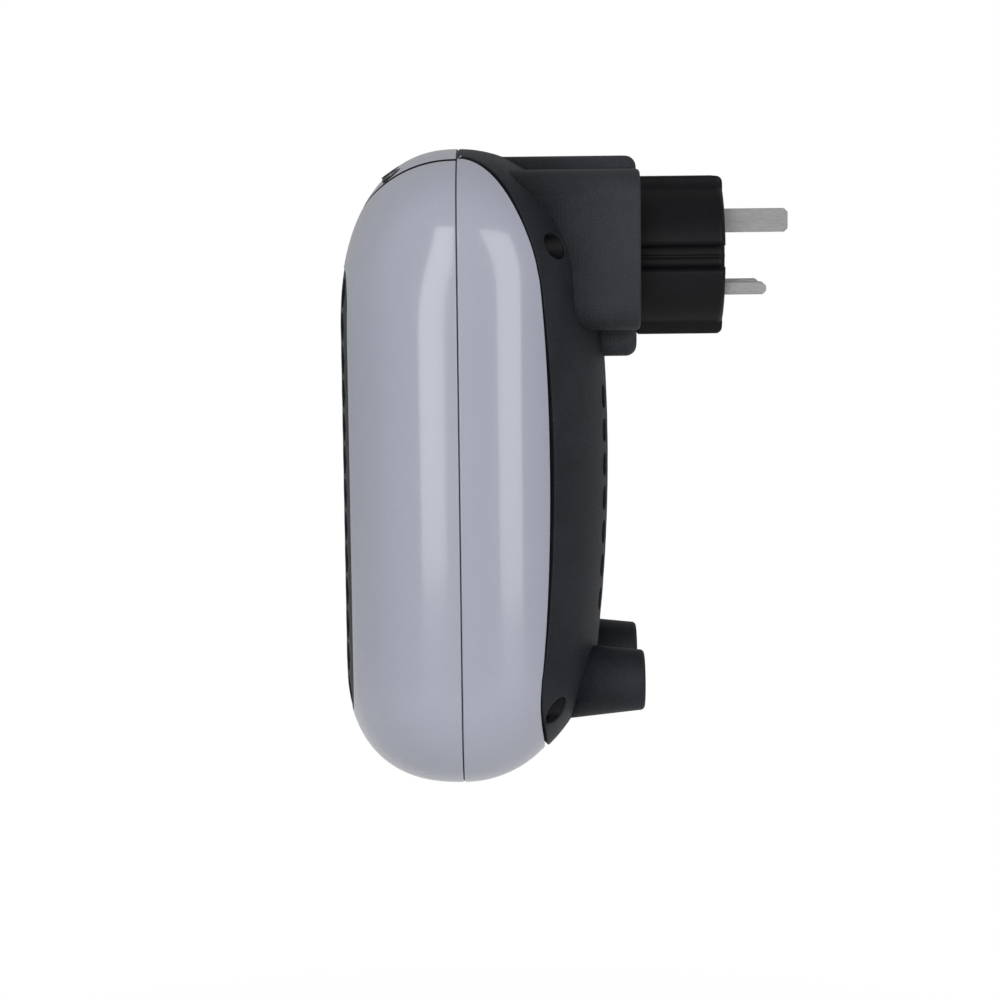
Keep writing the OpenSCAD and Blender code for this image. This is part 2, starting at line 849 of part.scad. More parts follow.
// Places of the three pins, grown by a gap
module pin_outlines(grow) {
  translate([0, pin_spacing / 2]) square([pin_t + 2 * grow, earth_h + 2 * grow], center = true);
  both_sides() translate([pin_spacing / 2, -pin_spacing / 2])
    square([pole_w + 2 * grow, pin_t + 2 * grow], center = true);
}

module retainer_places() { both_sides() translate([retainer_screw_x, 0, retainer_screw_z]) children(); }

module plug_body() {
  color([0.07, 0.07, 0.08]) difference() {
    union() {
      translate([0, -boss_back, 0]) outward(boss_back) boss_outline();
      translate([0, -neck_back, 0]) outward(neck_back - boss_back + past) circle(d = neck_d);
    }
    translate([0, -neck_back - past, 0]) outward(neck_back + 2 * past) pin_outlines(pin_gap);
    retainer_places() translate([0, -neck_back - past, 0])
      facing_rear() cylinder(d = small_screw_d + 2 * screw_grip, h = retainer_hold + 2 * past);
  }
}

// Blade of a pin along +Y: w wide in X, h high in Z, with a chamfered tip
module pin_blade(w, h, length) {
  back = retainer_back + pin_tail;
  translate([-w / 2, 0, 0]) rotate([90, 0, 90]) linear_extrude(w) polygon([
    [-back, -h / 2], [length - pin_chamfer, -h / 2], [length, pin_chamfer - h / 2],
    [length, h / 2 - pin_chamfer], [length - pin_chamfer, h / 2], [-back, h / 2]]);
}

module earth_pin() {
  color(pin_metal) translate([0, 0, pin_spacing / 2]) pin_blade(pin_t, earth_h, earth_len);
}

module pole_pin(side) {
  color(pin_metal) translate([side * pin_spacing / 2, 0, -pin_spacing / 2])
    pin_blade(pole_w, pin_t, pole_len);
}

module live_pin() { pole_pin(1); }
module neutral_pin() { pole_pin(-1); }

module plug_retainer() {
  clear = swivel_limit + stop_angle;
  color(steel) difference() {
    union() {
      translate([0, -retainer_back, 0]) outward(retainer_t) circle(r = retainer_low_r);
      translate([0, -neck_back, 0]) rotate([90, 0, 0]) rotate(clear - 90)
        rotate_extrude(angle = 360 - 2 * clear)
          translate([retainer_low_r - past, 0]) square([retainer_step + past, retainer_t]);
    }
    translate([0, -retainer_back - past, 0]) outward(retainer_t + 2 * past) pin_outlines(2 * fit_gap);
    retainer_places() translate([0, -retainer_back - past, 0])
      facing_rear() cylinder(d = small_screw_d + 2 * screw_free, h = retainer_t + 2 * past);
  }
}

module retainer_screws() {
  color(steel) retainer_places() translate([0, -retainer_back, 0])
    rotate([90, 0, 0]) screw(small_screw_d, retainer_t + retainer_hold);
}

// The air path: duct, heating element, fan and motor

module duct_corners() {
  for (x = [-1, 1], z = [-1, 1]) translate([x * bracket_hole, 0, z * bracket_hole]) children();
}

module air_duct() {
  corner_d = 7;
  corner_y = fan_y + fan_depth - 4;
  color([0.16, 0.16, 0.17]) in_body() difference() {
    union() {
      translate([0, -duct_front, 0]) outward(duct_front + duct_rear) difference() {
        square(duct_size, center = true);
        square(duct_inner, center = true);
      }
      duct_corners() translate([0, corner_y, 0])
        facing_rear() cylinder(d = corner_d, h = duct_rear - corner_y);
      both_sides() for (z = [-1, 1])
        translate([duct_half - duct_wall / 2, ear_y - ear_t, z * duct_boss_z - ear_w / 2])
          cube([duct_boss_x - duct_half + ear_w / 2 + duct_wall / 2, ear_t, ear_w]);
    }
    duct_corners() translate([0, corner_y - past, 0])
      facing_rear() cylinder(d = small_screw_d + 2 * screw_grip, h = duct_rear - corner_y + 2 * past);
    both_sides() for (z = [-1, 1]) translate([duct_boss_x, ear_y - 2 * ear_t, z * duct_boss_z])
      facing_rear() cylinder(d = small_screw_d + 2 * screw_free, h = 3 * ear_t);
    both_sides() translate([slot_x - 3, heater_y + heater_depth / 2 - 3, -duct_half - past])
      cube([6, 6, duct_wall + 2 * past]);
  }
}

module duct_screws() {
  color(steel) in_body() both_sides() for (z = [-1, 1])
    translate([duct_boss_x, ear_y, z * duct_boss_z]) facing_rear() screw(small_screw_d, ear_t + duct_hold);
}

// Heights of the two heating bars
function bar_places() = [-heater_core / 6, heater_core / 6];

module heater_frame() {
  color(cream) in_body() translate([0, heater_y, 0]) outward(heater_depth) difference() {
    square(heater_side, center = true);
    square(heater_core, center = true);
  }
}

module ptc_bars() {
  color([0.35, 0.32, 0.30]) in_body() for (z = bar_places())
    translate([-heater_core / 2, heater_y + 2, z - bar_h / 2]) cube([heater_core, heater_depth - 4, bar_h]);
}

// One folded fin strip between two heights
module fin_pack(low, high) {
  folds = 16;
  fin_t = 0.5;
  edge_t = 0.8;
  step = heater_core / folds;
  rise = high - low - 2 * edge_t;
  translate([0, heater_y + 2, 0]) outward(heater_depth - 4) {
    for (z = [low, high - edge_t]) translate([-heater_core / 2, z]) square([heater_core, edge_t]);
    for (i = [0:folds - 1]) {
      x = i * step - heater_core / 2;
      foot = i % 2 == 0 ? low + edge_t : high - edge_t;
      head = i % 2 == 0 ? foot + rise : foot - rise;
      polygon([[x, foot], [x + fin_t, foot], [x + step, head], [x + step - fin_t, head]]);
    }
  }
}

module heater_fins() {
  bars = bar_places();
  color([0.78, 0.79, 0.80]) in_body() {
    fin_pack(-heater_core / 2, bars[0] - bar_h / 2);
    fin_pack(bars[0] + bar_h / 2, bars[1] - bar_h / 2);
    fin_pack(bars[1] + bar_h / 2, heater_core / 2);
  }
}

module thermal_cutout() {
  color([0.25, 0.22, 0.20]) in_body() translate([-slot_x, heater_y + heater_depth / 2, duct_half]) {
    translate([-cutout_size[0] / 2, -cutout_size[1] / 2, 0]) cube(cutout_size);
    translate([0, 0, cutout_size[2]]) cylinder(d = cutout_cap_d, h = cutout_cap_h);
  }
}

module thermal_fuse() {
  color([0.80, 0.78, 0.72]) in_body()
    translate([slot_x - fuse_l / 2, heater_y + heater_depth / 2, duct_half + fuse_d / 2 + 0.05])
      rotate([0, 90, 0]) {
        cylinder(d = fuse_d, h = fuse_l);
        translate([0, 0, -fuse_wire_l]) cylinder(d = fuse_wire_d, h = fuse_l + 2 * fuse_wire_l);
      }
}

module motor_bracket() {
  arm_w = 9;
  ring_d = duct_inner;
  color([0.16, 0.16, 0.17]) in_body() translate([0, duct_rear, 0]) difference() {
    outward(bracket_t) {
      difference() {
        square(duct_size, center = true);
        circle(d = ring_d);
      }
      circle(d = bracket_hub_d);
      for (turn = [45, 135]) rotate(turn) square([duct_size, arm_w], center = true);
    }
    translate([0, -past, 0])
      facing_rear() cylinder(d = motor_boss_d + 2 * fit_gap, h = bracket_t + 2 * past);
    duct_corners() translate([0, -past, 0])
      facing_rear() cylinder(d = small_screw_d + 2 * screw_free, h = bracket_t + 2 * past);
    both_sides() translate([motor_screw_x, -past, 0])
      facing_rear() cylinder(d = small_screw_d + 2 * screw_free, h = bracket_t + 2 * past);
  }
}

module bracket_screws() {
  color(steel) in_body() duct_corners() translate([0, motor_y, 0])
    facing_rear() screw(small_screw_d, bracket_t + bracket_hold);
}

module fan_motor() {
  cap_d = 0.45 * motor_d;
  color([0.62, 0.63, 0.64]) in_body() translate([0, motor_y, 0]) facing_rear() difference() {
    union() {
      cylinder(d = motor_d, h = motor_len);
      translate([0, 0, 0.8 - bracket_t]) cylinder(d = motor_boss_d, h = bracket_t);
      translate([0, 0, motor_len - past]) cylinder(d = cap_d, h = past + 2);
    }
    translate([0, 0, -bracket_t]) cylinder(d = shaft_d + 2 * shaft_gap, h = bracket_t + motor_len - 4);
    both_sides() translate([motor_screw_x, 0, -past])
      cylinder(d = small_screw_d + 2 * screw_grip, h = motor_hold + 3 * past);
  }
}

module motor_screws() {
  color(steel) in_body() both_sides() translate([motor_screw_x, duct_rear, 0])
    rotate([90, 0, 0]) screw(small_screw_d, bracket_t + motor_hold);
}

module motor_shaft() {
  color(steel) in_body() translate([0, fan_y - 1, 0])
    facing_rear() cylinder(d = shaft_d, h = motor_y + motor_len - 6 - fan_y);
}

module fan_impeller() {
  reach_out = fan_d / 2 + past;
  color([0.20, 0.20, 0.21]) in_body() translate([0, fan_y, 0]) facing_rear() difference() {
    union() {
      cylinder(d = hub_d, h = fan_depth);
      intersection() {
        cylinder(d = fan_d, h = fan_depth);
        for (i = [0:blade_count - 1]) rotate(360 * i / blade_count)
          translate([hub_d / 2 - 2, 0, fan_depth / 2]) rotate([blade_pitch, 0, 0])
            translate([0, -fan_depth, -blade_t / 2]) cube([reach_out, 2 * fan_depth, blade_t]);
      }
    }
    translate([0, 0, -past]) cylinder(d = shaft_d + 2 * screw_grip, h = fan_depth + 2 * past);
  }
}

// The main board and what is soldered to it

module board_places() { both_sides() for (p = board_hole) translate([p[0], 0, p[1]]) children(); }

module main_board() {
  color(board_green) in_body() difference() {
    translate([-board_w / 2, board_y, board_low]) cube([board_w, board_t, board_h]);
    board_places() translate([0, board_y - past, 0])
      facing_rear() cylinder(d = small_screw_d + 2 * screw_free, h = board_t + 2 * past);
  }
}

module board_screws() {
  color(steel) in_body() board_places() translate([0, board_face, 0])
    facing_rear() screw(small_screw_d, board_t + duct_hold);
}

// A block soldered to the board, with its middle at a distance across and a drop below the board's top
module board_block(at, size) {
  translate([at[0] - size[0] / 2, board_face, board_top - at[1] - size[2] / 2]) cube(size);
}

module relay() { color([0.10, 0.22, 0.45]) in_body() board_block(relay_at, relay_size); }

module film_capacitor() { color([0.75, 0.65, 0.20]) in_body() board_block(film_at, film_size); }

module electrolytic_capacitor() {
  color([0.12, 0.12, 0.25]) in_body() translate([can_at[0], board_face, board_top - can_at[1]])
    facing_rear() cylinder(d = can_d, h = can_h);
}

module terminal_block() {
  color([0.20, 0.45, 0.25]) in_body() difference() {
    board_block([0, board_h - terminal_rise], terminal_size);
    for (i = [-1:1])
      translate([i * terminal_pitch, terminal_face - terminal_depth, board_low + terminal_rise])
        facing_rear() cylinder(d = mains_d + 2 * fit_gap, h = terminal_depth + past);
  }
}

// Leads inside the body, along routes in the body's frame

module mains_leads() {
  pole = pin_spacing / 2;
  low = board_low + terminal_rise;
  color([0.45, 0.25, 0.12]) in_body() {
    tube([[pole, tail_y, plug_z - pole], [pole, tail_y - 4, plug_z - pole], [15, 40, 50], [22, 36, 30],
      [24, 35, 0], [24, 35, -30], [20, 32, -54], [8, 25, -76], [0, terminal_face + 6, low],
      [0, lead_y, low]], mains_d);
    tube([[-pole, tail_y, plug_z - pole], [-pole, tail_y - 4, plug_z - pole], [-15, 40, 50], [-22, 36, 30],
      [-24, 35, 0], [-24, 35, -30], [-21, 32, -54], [-15, 25, -76],
      [-terminal_pitch, terminal_face + 6, low], [-terminal_pitch, lead_y, low]], mains_d);
    tube([[0, tail_y, plug_z + pole], [0, tail_y - 4, plug_z + pole], [8, 40, 76], [22, 35, 66],
      [29, 31, 50], [30, 30, 30], [30, 30, 0], [30, 30, -30], [27, 29, -54], [18, 23, -76],
      [terminal_pitch, terminal_face + 6, low], [terminal_pitch, lead_y, low]], mains_d);
  }
}

module heater_leads() {
  tab_y = heater_y + heater_depth / 2;
  bed = -duct_half - 2.6;
  color([0.75, 0.12, 0.10]) in_body() both_sides()
    tube([[slot_x, board_face + lead_gap, board_top - 5], [slot_x, board_face + 3.2, board_top - 5],
      [slot_x, board_face + 4.4, board_top - 1], [slot_x, -4, bed - 0.6], [slot_x, -12, bed],
      [slot_x, tab_y + 5, bed], [slot_x, tab_y + 0.6, bed + 1.4], [slot_x, tab_y, lead_gap - duct_half],
      [slot_x, tab_y, -heater_side / 2 - lead_gap]], thin_d);
}

module motor_leads() {
  back = motor_y + motor_len;
  color([0.15, 0.15, 0.55]) in_body() both_sides()
    tube([[9, back + lead_gap, 0], [9, back + 3, 0], [9, back + 4.4, -4], [9, 35, -22], [7, 26, -40],
      [4, 12, -50], [4, 0, -52], [4, board_face + lead_gap, -52]], thin_d);
}

module signal_cable() {
  outward_way = [0, -cos(control_at), sin(control_at)];
  under_board = [30, -seam_gap / 2, half_straight] + (display_board_r - lead_gap) * outward_way;
  color([0.55, 0.56, 0.58]) in_body()
    tube([under_board, under_board - 4 * outward_way, [30.5, -6, 76], [32, -2, 67], [35, 1, 58],
      [40, 3, 48], [42, 3, 36], [42, 3, 0], [42, 3, -30], [39, 3, -42], [32, 1, -50], [30, -1, -53.4],
      [30, board_face + lead_gap, -53.4]], signal_d);
}

front_housing();
rear_housing();
front_grille();
control_panel();
display_window();
power_button();
timer_button();
cooler_button();
warmer_button();
rear_cover();
cover_screws();
plug_body();
earth_pin();
live_pin();
neutral_pin();
plug_retainer();
retainer_screws();
air_duct();
duct_screws();
heater_frame();
ptc_bars();
heater_fins();
thermal_cutout();
thermal_fuse();
motor_bracket();
bracket_screws();
fan_motor();
motor_screws();
motor_shaft();
fan_impeller();
main_board();
relay();
film_capacitor();
electrolytic_capacitor();
terminal_block();
board_screws();
display_board();
led_display();
tact_switches();
panel_screws();
mains_leads();
heater_leads();
motor_leads();
signal_cable();
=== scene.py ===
import json
import math

import bpy
import numpy as np
from mathutils import Matrix, Vector
from mathutils.geometry import delaunay_2d_cdt

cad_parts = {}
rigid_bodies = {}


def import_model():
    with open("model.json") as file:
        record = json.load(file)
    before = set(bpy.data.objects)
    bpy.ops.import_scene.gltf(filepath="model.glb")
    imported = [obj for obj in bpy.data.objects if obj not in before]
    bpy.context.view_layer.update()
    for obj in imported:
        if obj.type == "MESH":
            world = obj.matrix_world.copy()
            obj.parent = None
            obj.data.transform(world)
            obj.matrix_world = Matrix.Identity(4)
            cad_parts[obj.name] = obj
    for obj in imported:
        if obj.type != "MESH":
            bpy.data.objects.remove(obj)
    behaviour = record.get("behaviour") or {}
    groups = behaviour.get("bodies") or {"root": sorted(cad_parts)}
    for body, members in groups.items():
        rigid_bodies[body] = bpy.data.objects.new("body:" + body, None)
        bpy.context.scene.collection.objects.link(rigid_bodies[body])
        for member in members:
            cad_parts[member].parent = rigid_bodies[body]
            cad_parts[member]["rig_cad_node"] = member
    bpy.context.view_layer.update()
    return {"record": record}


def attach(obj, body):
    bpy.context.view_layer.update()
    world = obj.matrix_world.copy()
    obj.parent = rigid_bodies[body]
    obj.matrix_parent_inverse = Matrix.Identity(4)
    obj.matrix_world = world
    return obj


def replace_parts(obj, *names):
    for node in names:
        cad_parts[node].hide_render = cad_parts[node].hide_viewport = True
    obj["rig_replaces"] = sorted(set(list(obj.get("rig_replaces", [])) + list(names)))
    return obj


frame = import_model()

# Sizes are in millimetres. The body's own frame has its origin at the middle of the seam,
# with x across, depth away from the seam and height up.
MM = 0.001

# The body: half its width, its reach above and below the middle, the depth of each half
HALF_W, HALF_H, HALF_LOW, DEPTH = 66.0, 106.5, 105.3, 40.0
CHEEK_POWER = 2.8
# Rise and power of the round ends of each half
FRONT_TOP, FRONT_LOW = (60.0, 2.3), (42.0, 2.45)
REAR_TOP, REAR_LOW = (43.0, 2.0), (44.0, 2.05)
# The seam's place in the model's frame, and half the gap in it
SEAM_Y, BODY_Z, HALF_GAP = -88.0, -70.5, 0.15
# Wall of the shells, rounding of their edges, and the gap round what is set in them
WALL, SHELL_EDGE, FIT = 2.2, 0.45, 0.3
# The band behind the seam: how far in it lies, half its width and its wall
TONGUE_IN, TONGUE_HALF, TONGUE_WALL = 1.2, 1.5, 0.8

# The outlet grille: its outline, the height of its middle, its wall and how far it is sunk
GRILLE_W, GRILLE_H, GRILLE_R, GRILLE_Z = 80.0, 147.0, 14.0, -6.0
GRILLE_WALL, GRILLE_SINK = 3.8, 0.25
# Its cells: width across flats, pitch, and the reach to a corner as a share of the width
CELL, CELL_PITCH, CELL_REACH = 9.2, 11.0, 0.58
# Least plain rim beside the cells, along the sides and in the corners
SIDE_RIM, CORNER_RIM = 4.0, 1.5
# Distance between the columns of a honeycomb of pitch 1
HEX_COLUMN = math.cos(math.pi / 6)

# The control strip: half its width, its corners, the gap round it, and the angle of its low edge
STRIP_HALF, STRIP_CORNER, STRIP_GAP, STRIP_ANGLE = 37.0, 34.0, 0.9, 30.0
# How far the shell's skin stands back from the gap round the strip, which shows as a dark groove
STRIP_BACK = 1.5
# How far the strip's skin stands past its own edge, for a land beside the outer buttons
STRIP_OVER = 0.4
# Angle in degrees at which the buttons and the window face out, and the strip's low edge from there
CONTROL_ANGLE = 56.0
STRIP_LOW = DEPTH * math.sin(math.radians(CONTROL_ANGLE - STRIP_ANGLE) - STRIP_GAP / DEPTH)
WINDOW_W, WINDOW_H, WINDOW_R = 24.0, 10.0, 1.2
BUTTON_R, BUTTON_X, BUTTON_PITCH = 3.6, 17.0, 10.0
KEY_GAP = 0.2
BUTTONS = {
    "power": -BUTTON_X - BUTTON_PITCH,
    "timer": -BUTTON_X,
    "cooler": BUTTON_X,
    "warmer": BUTTON_X + BUTTON_PITCH,
}
# A cap's section from its middle to the end of its skirt, as shares of its radius and heights
CAP = ((0, 0.1), (0.32, 0.12), (0.64, 0.18), (0.85, 0.27), (0.92, 0.28), (0.97, 0.2), (1, 0), (0.85, -1.3))
# A printed sign: its line width, its height at the cap's middle, and how much it climbs outwards
MARK_WIDTH, MARK_RISE, MARK_CLIMB = 0.4, 0.15, 0.03

# The rear cover: its half widths, its ends, the bends between its sides and ends, and its wall
COVER_HALF, COVER_WAIST, COVER_LOW, COVER_HIGH = 58.0, 54.5, -94.5, 108.0
COVER_BEND_LOW, COVER_BEND_HIGH = -64.0, 68.0
COVER_LOW_POWER, COVER_HIGH_POWER = 2.4, 2.7
COVER_WALL = 2.5
# Its screw wells: place, radius, depth of the floor, and how far the wall starts below the skin
WELL_X, WELL_Z, WELL_R, WELL_FLOOR, WELL_SINK = 50.0, 75.5, 4.2, 6.3, 0.8
# Its inlet holes, in a middle column and VENT_SIDE more on each side of it
VENT_R, VENT_PITCH, VENT_TOP, VENT_ROWS, VENT_SIDE = 4.0, 11.4, 24.5, 7, 2
# Its bulge: height, middle and half length
BULGE, BULGE_Z, BULGE_SPAN = 9.5, 5.0, 103.0

# The plug block: outline, how far its middle is above the plug's axis, root from the seam, end
BLOCK_W, BLOCK_H, BLOCK_UP, BLOCK_CORNER = 90.0, 52.0, 3.0, 9.0
BLOCK_ROOT, BLOCK_END, BLOCK_ROUND = 13.0, -29.0, 1.2
# The lobes above and below it, and the round opening for the plug's neck
LOBE_HALF, LOBE_REACH, LOBE_CORNER, LOBE_ROUND = 19.0, 33.25, 6.0, 3.6
SOCKET_R, SOCKET_DEPTH = 21.1, 3.0
# The feet: place, ends, radius at the tip, taper, rounding, and the hollow within a flat rim
FOOT_X, FOOT_Z, FOOT_TIP, FOOT_ROOT = 26.0, -141.0, -27.5, -70.0
FOOT_R, FOOT_TAPER, FOOT_ROUND = 10.0, 0.1046, 1.3
FOOT_RIM, FOOT_HOLLOW = 2.6, 0.4

# The plug's boss, whose face is at y = 0: radius, back, and rounding of its two ends
BOSS_R, BOSS_BACK, BOSS_ROUND, BOSS_BEVEL = 25.6, -28.7, 2.2, 0.5
# Keys above and below it, and a ridged notch at each side
KEY_HALF, KEY_TOP, KEY_BEVEL = 11.0, 26.25, 0.8
NOTCH_HALF, NOTCH_FLOOR, RIDGE_HALF, RIDGE_TOP = 3.85, 21.5, 0.6, 22.3
# Its neck: radius, and reach behind and in front of the boss's back
NECK_R, NECK_BEHIND, NECK_AHEAD = 21.0, 3.6, 0.2
# Rounding of the pins' edges
PIN_EDGE = 0.35

# Samples along the curves, halvings of a search, and a length taken as nothing
CURVE_SAMPLES, CHEEK_SAMPLES, SEAM_SAMPLES = 1501, 801, 90
HALVINGS = 45
TINY = 1e-9
# Mesh step of the shells. Limits as shares of a step: shortest edge, clearance of the rim, least area
STEP = 2.2
SHORTEST, CLEARANCE, LEAST_AREA = 0.15, 0.6, 1e-3
# Distance from an edge to the row of points beside it, in widths of the edge's rounding
EDGE_ROW = 1.8

SIDES = {"left": -1, "right": 1}
ENDS = {"lower": -1, "upper": 1}


# Shape helpers

def reach(x):
    """Depth of the cheek curve at a place across."""
    share = np.minimum(1, np.abs(x) / HALF_W)
    return DEPTH * (1 - share ** CHEEK_POWER) ** (1 / CHEEK_POWER)


def running(a, b):
    """Length along a curve up to each of its points."""
    return np.concatenate(([0], np.cumsum(np.hypot(np.diff(a), np.diff(b)))))


class Half:
    """Outer surface of one half of the body.

    A place on it is given by lengths along the surface, u across and v up. For meshing it is spread
    out flat like a map of a dome, by the direction of each point as seen from the middle of the body.
    """

    def __init__(self, side, top, low):
        self.side = side
        self.top_rise, self.top_power = top
        self.low_rise, self.low_power = low
        self.z_low = self.low_rise - HALF_LOW
        self.z_top = HALF_H - self.top_rise
        self.turns = np.linspace(-1, 2, CURVE_SAMPLES)
        self.lengths = running(*self.profile(np.zeros_like(self.turns), self.turns))
        self.xs = HALF_W * np.sin(np.linspace(0, math.pi / 2, CHEEK_SAMPLES)) ** (2 / CHEEK_POWER)
        self.us = running(self.xs, reach(self.xs))
        self.u_max = self.us[-1]
        self.v_max = self.lengths[-1]
        v_low, v_top = np.interp((0, 1), self.turns, self.lengths)
        self.low_arc = v_low
        self.top_arc = self.v_max - v_top

    def profile(self, x, turn):
        """Depth and height at a place across; turn is -1 at the bottom seam and 2 at the top seam."""
        wide = reach(x)
        cut = DEPTH - wide
        top = np.clip(turn - 1, 0, 1) * math.pi / 2
        low = np.clip(-turn, 0, 1) * math.pi / 2
        height = self.z_low + (self.z_top - self.z_low) * np.clip(turn, 0, 1)
        height = height + (self.top_rise - cut) * np.sin(top) ** (2 / self.top_power)
        height = height - (self.low_rise - cut) * np.sin(low) ** (2 / self.low_power)
        depth = wide * np.abs(np.cos(top)) ** (2 / self.top_power)
        depth = depth * np.abs(np.cos(low)) ** (2 / self.low_power)
        return depth, height

    def end(self, height):
        """Nearest height of the straight part, and rise, arc length and power of the nearer end."""
        middle = np.clip(height, self.z_low, self.z_top)
        top = height > middle
        rise = np.where(top, self.top_rise, self.low_rise)
        arc = np.where(top, self.top_arc, self.low_arc)
        power = np.where(top, self.top_power, self.low_power)
        return middle, rise, arc, power

    def chart(self, places):
        """Flat map of places given by u and v."""
        u, v = places[:, 0], places[:, 1]
        x = np.sign(u) * np.interp(np.abs(u), self.us, self.xs)
        depth, height = self.profile(x, np.interp(v, self.lengths, self.turns))
        middle, rise, arc, _ = self.end(height)
        right, out, up = x / HALF_W, depth / DEPTH, (height - middle) / rise
        aside = np.hypot(right, up)
        scale = np.arctan2(aside, out) * 2 / math.pi / np.maximum(aside, TINY)
        return np.column_stack((right * scale * self.u_max, middle + up * scale * arc))

    def lift(self, flat):
        """Points in the body's frame for places on the flat map, found on their rays by halving."""
        middle, rise, arc, power = self.end(flat[:, 1])
        right, up = flat[:, 0] / self.u_max, (flat[:, 1] - middle) / arc
        far = np.hypot(right, up)
        angle = np.minimum(far, 1) * math.pi / 2
        scale = np.sin(angle) / np.maximum(far, TINY)
        right, out, up = right * scale * HALF_W, np.cos(angle) * DEPTH, up * scale * rise
        low = np.zeros_like(far)
        high = np.minimum(2, HALF_W / np.maximum(np.abs(right), TINY))
        for _ in range(HALVINGS):
            share = (low + high) / 2
            wide = np.maximum(reach(share * right), TINY)
            over = np.abs(share * up) / np.maximum(rise - DEPTH + wide, TINY)
            past = over ** power + (share * out / wide) ** np.where(up == 0, 2, power) > 1
            low, high = np.where(past, low, share), np.where(past, share, high)
        return np.column_stack((share * right, share * out, middle + share * up))

    def sunk(self, aside, deep, up):
        """A lift onto a smaller surface, drawn in at its sides, its depth and its ends."""
        scale = (1 - aside / HALF_W, 1 - deep / DEPTH, 1 - up / HALF_H)

        def smaller(flat):
            return self.lift(flat) * scale

        return smaller

    def across(self, x):
        """Length across the surface for a place across."""
        return np.sign(x) * np.interp(np.abs(x), self.xs, self.us)

    def places(self, x, z):
        """u and v for places seen from straight in front or behind."""
        x, z = np.broadcast_arrays(np.asarray(x, float), np.asarray(z, float))
        cut = DEPTH - reach(x)
        over = np.clip((z - self.z_top) / np.maximum(self.top_rise - cut, TINY), 0, 1)
        under = np.clip((self.z_low - z) / np.maximum(self.low_rise - cut, TINY), 0, 1)
        turn = np.clip((z - self.z_low) / (self.z_top - self.z_low), 0, 1)
        turn = turn + np.arcsin(over ** (self.top_power / 2)) * 2 / math.pi
        turn = turn - np.arcsin(under ** (self.low_power / 2)) * 2 / math.pi
        return np.column_stack((self.across(x), np.interp(turn, self.turns, self.lengths)))

    def flat(self, x, z):
        """Flat map of places seen from straight in front or behind."""
        return self.chart(self.places(x, z))

    def seam(self, start, end, v):
        """Flat map of a run across the surface at one length up it, such as the top seam."""
        u = np.linspace(start, end, SEAM_SAMPLES)
        return self.chart(np.column_stack((u, np.full_like(u, v))))

    def side_seam(self, u, start, end):
        """Flat map of a run up the surface at one length across, such as the seam at a side."""
        v = np.linspace(start, end, SEAM_SAMPLES)
        return self.chart(np.column_stack((np.full_like(v, u), v)))

    def closed(self, edge, short=0.0):
        """Loop on the flat map of an edge from u and v that ends on the top seam, or short of it."""
        top = self.v_max - short
        edge[:, 1] = np.minimum(edge[:, 1], top)
        return np.vstack((self.seam(edge[-1][0], edge[0][0], top), self.chart(edge)))

    def around(self, cut):
        """Loop on the flat map round the whole half, less what lies inside a cut at its top."""
        top, side = self.v_max, self.u_max
        return np.vstack((
            self.seam(-side, side, 0),
            self.side_seam(side, 0, top),
            self.seam(side, cut[0][0], top),
            self.chart(cut),
            self.seam(cut[-1][0], -side, top),
            self.side_seam(-side, top, 0),
        ))

    def world(self, points):
        """Points of the body's frame in the model's frame."""
        x, depth, height = points[:, 0], points[:, 1], points[:, 2]
        return np.column_stack((x, SEAM_Y + self.side * (HALF_GAP + depth), BODY_Z + height))


FRONT = Half(-1, FRONT_TOP, FRONT_LOW)
REAR = Half(1, REAR_TOP, REAR_LOW)


def split(loop, step):
    """The same closed loop with no edge longer than the step, and none much shorter."""
    loop = loop[np.hypot(*(loop - np.roll(loop, 1, axis=0)).T) > SHORTEST * step]
    made = []
    for a, b in zip(loop, np.roll(loop, -1, axis=0)):
        count = max(1, math.ceil(np.hypot(*(b - a)) / step))
        made += [a + (b - a) * i / count for i in range(count)]
    return np.array(made)


def inside(points, loops):
    """Which points lie inside the first loop and outside the others."""
    odd = np.zeros(len(points), bool)
    x, y = points[:, 0], points[:, 1]
    for loop in loops:
        for a, b in zip(loop, np.roll(loop, -1, axis=0)):
            if a[1] == b[1]:
                continue
            crosses = (a[1] > y) != (b[1] > y)
            odd ^= crosses & (x < a[0] + (b[0] - a[0]) * (y - a[1]) / (b[1] - a[1]))
    return odd


def beside(loop, distance, lift):
    """A loop on the flat map moved inwards by a true distance, or outwards where that is negative."""
    sharpest, least_stretch, most_stretch = 1.2, 0.25, 4
    ahead = np.roll(loop, -1, axis=0) - loop
    ahead = ahead / np.maximum(np.hypot(*ahead.T), TINY)[:, None]
    area = np.sum(loop[:, 0] * np.roll(loop[:, 1], -1) - loop[:, 1] * np.roll(loop[:, 0], -1))
    aside = np.column_stack((-ahead[:, 1], ahead[:, 0])) * np.sign(area)
    both = aside + np.roll(aside, 1, axis=0)
    square = np.maximum(np.sum(both * both, axis=1), sharpest)
    push = both * (2 * distance / square)[:, None]
    stretch = np.linalg.norm(lift(loop + push) - lift(loop), axis=1) / np.hypot(*push.T)
    return loop + push / np.clip(stretch, least_stretch, most_stretch)[:, None]


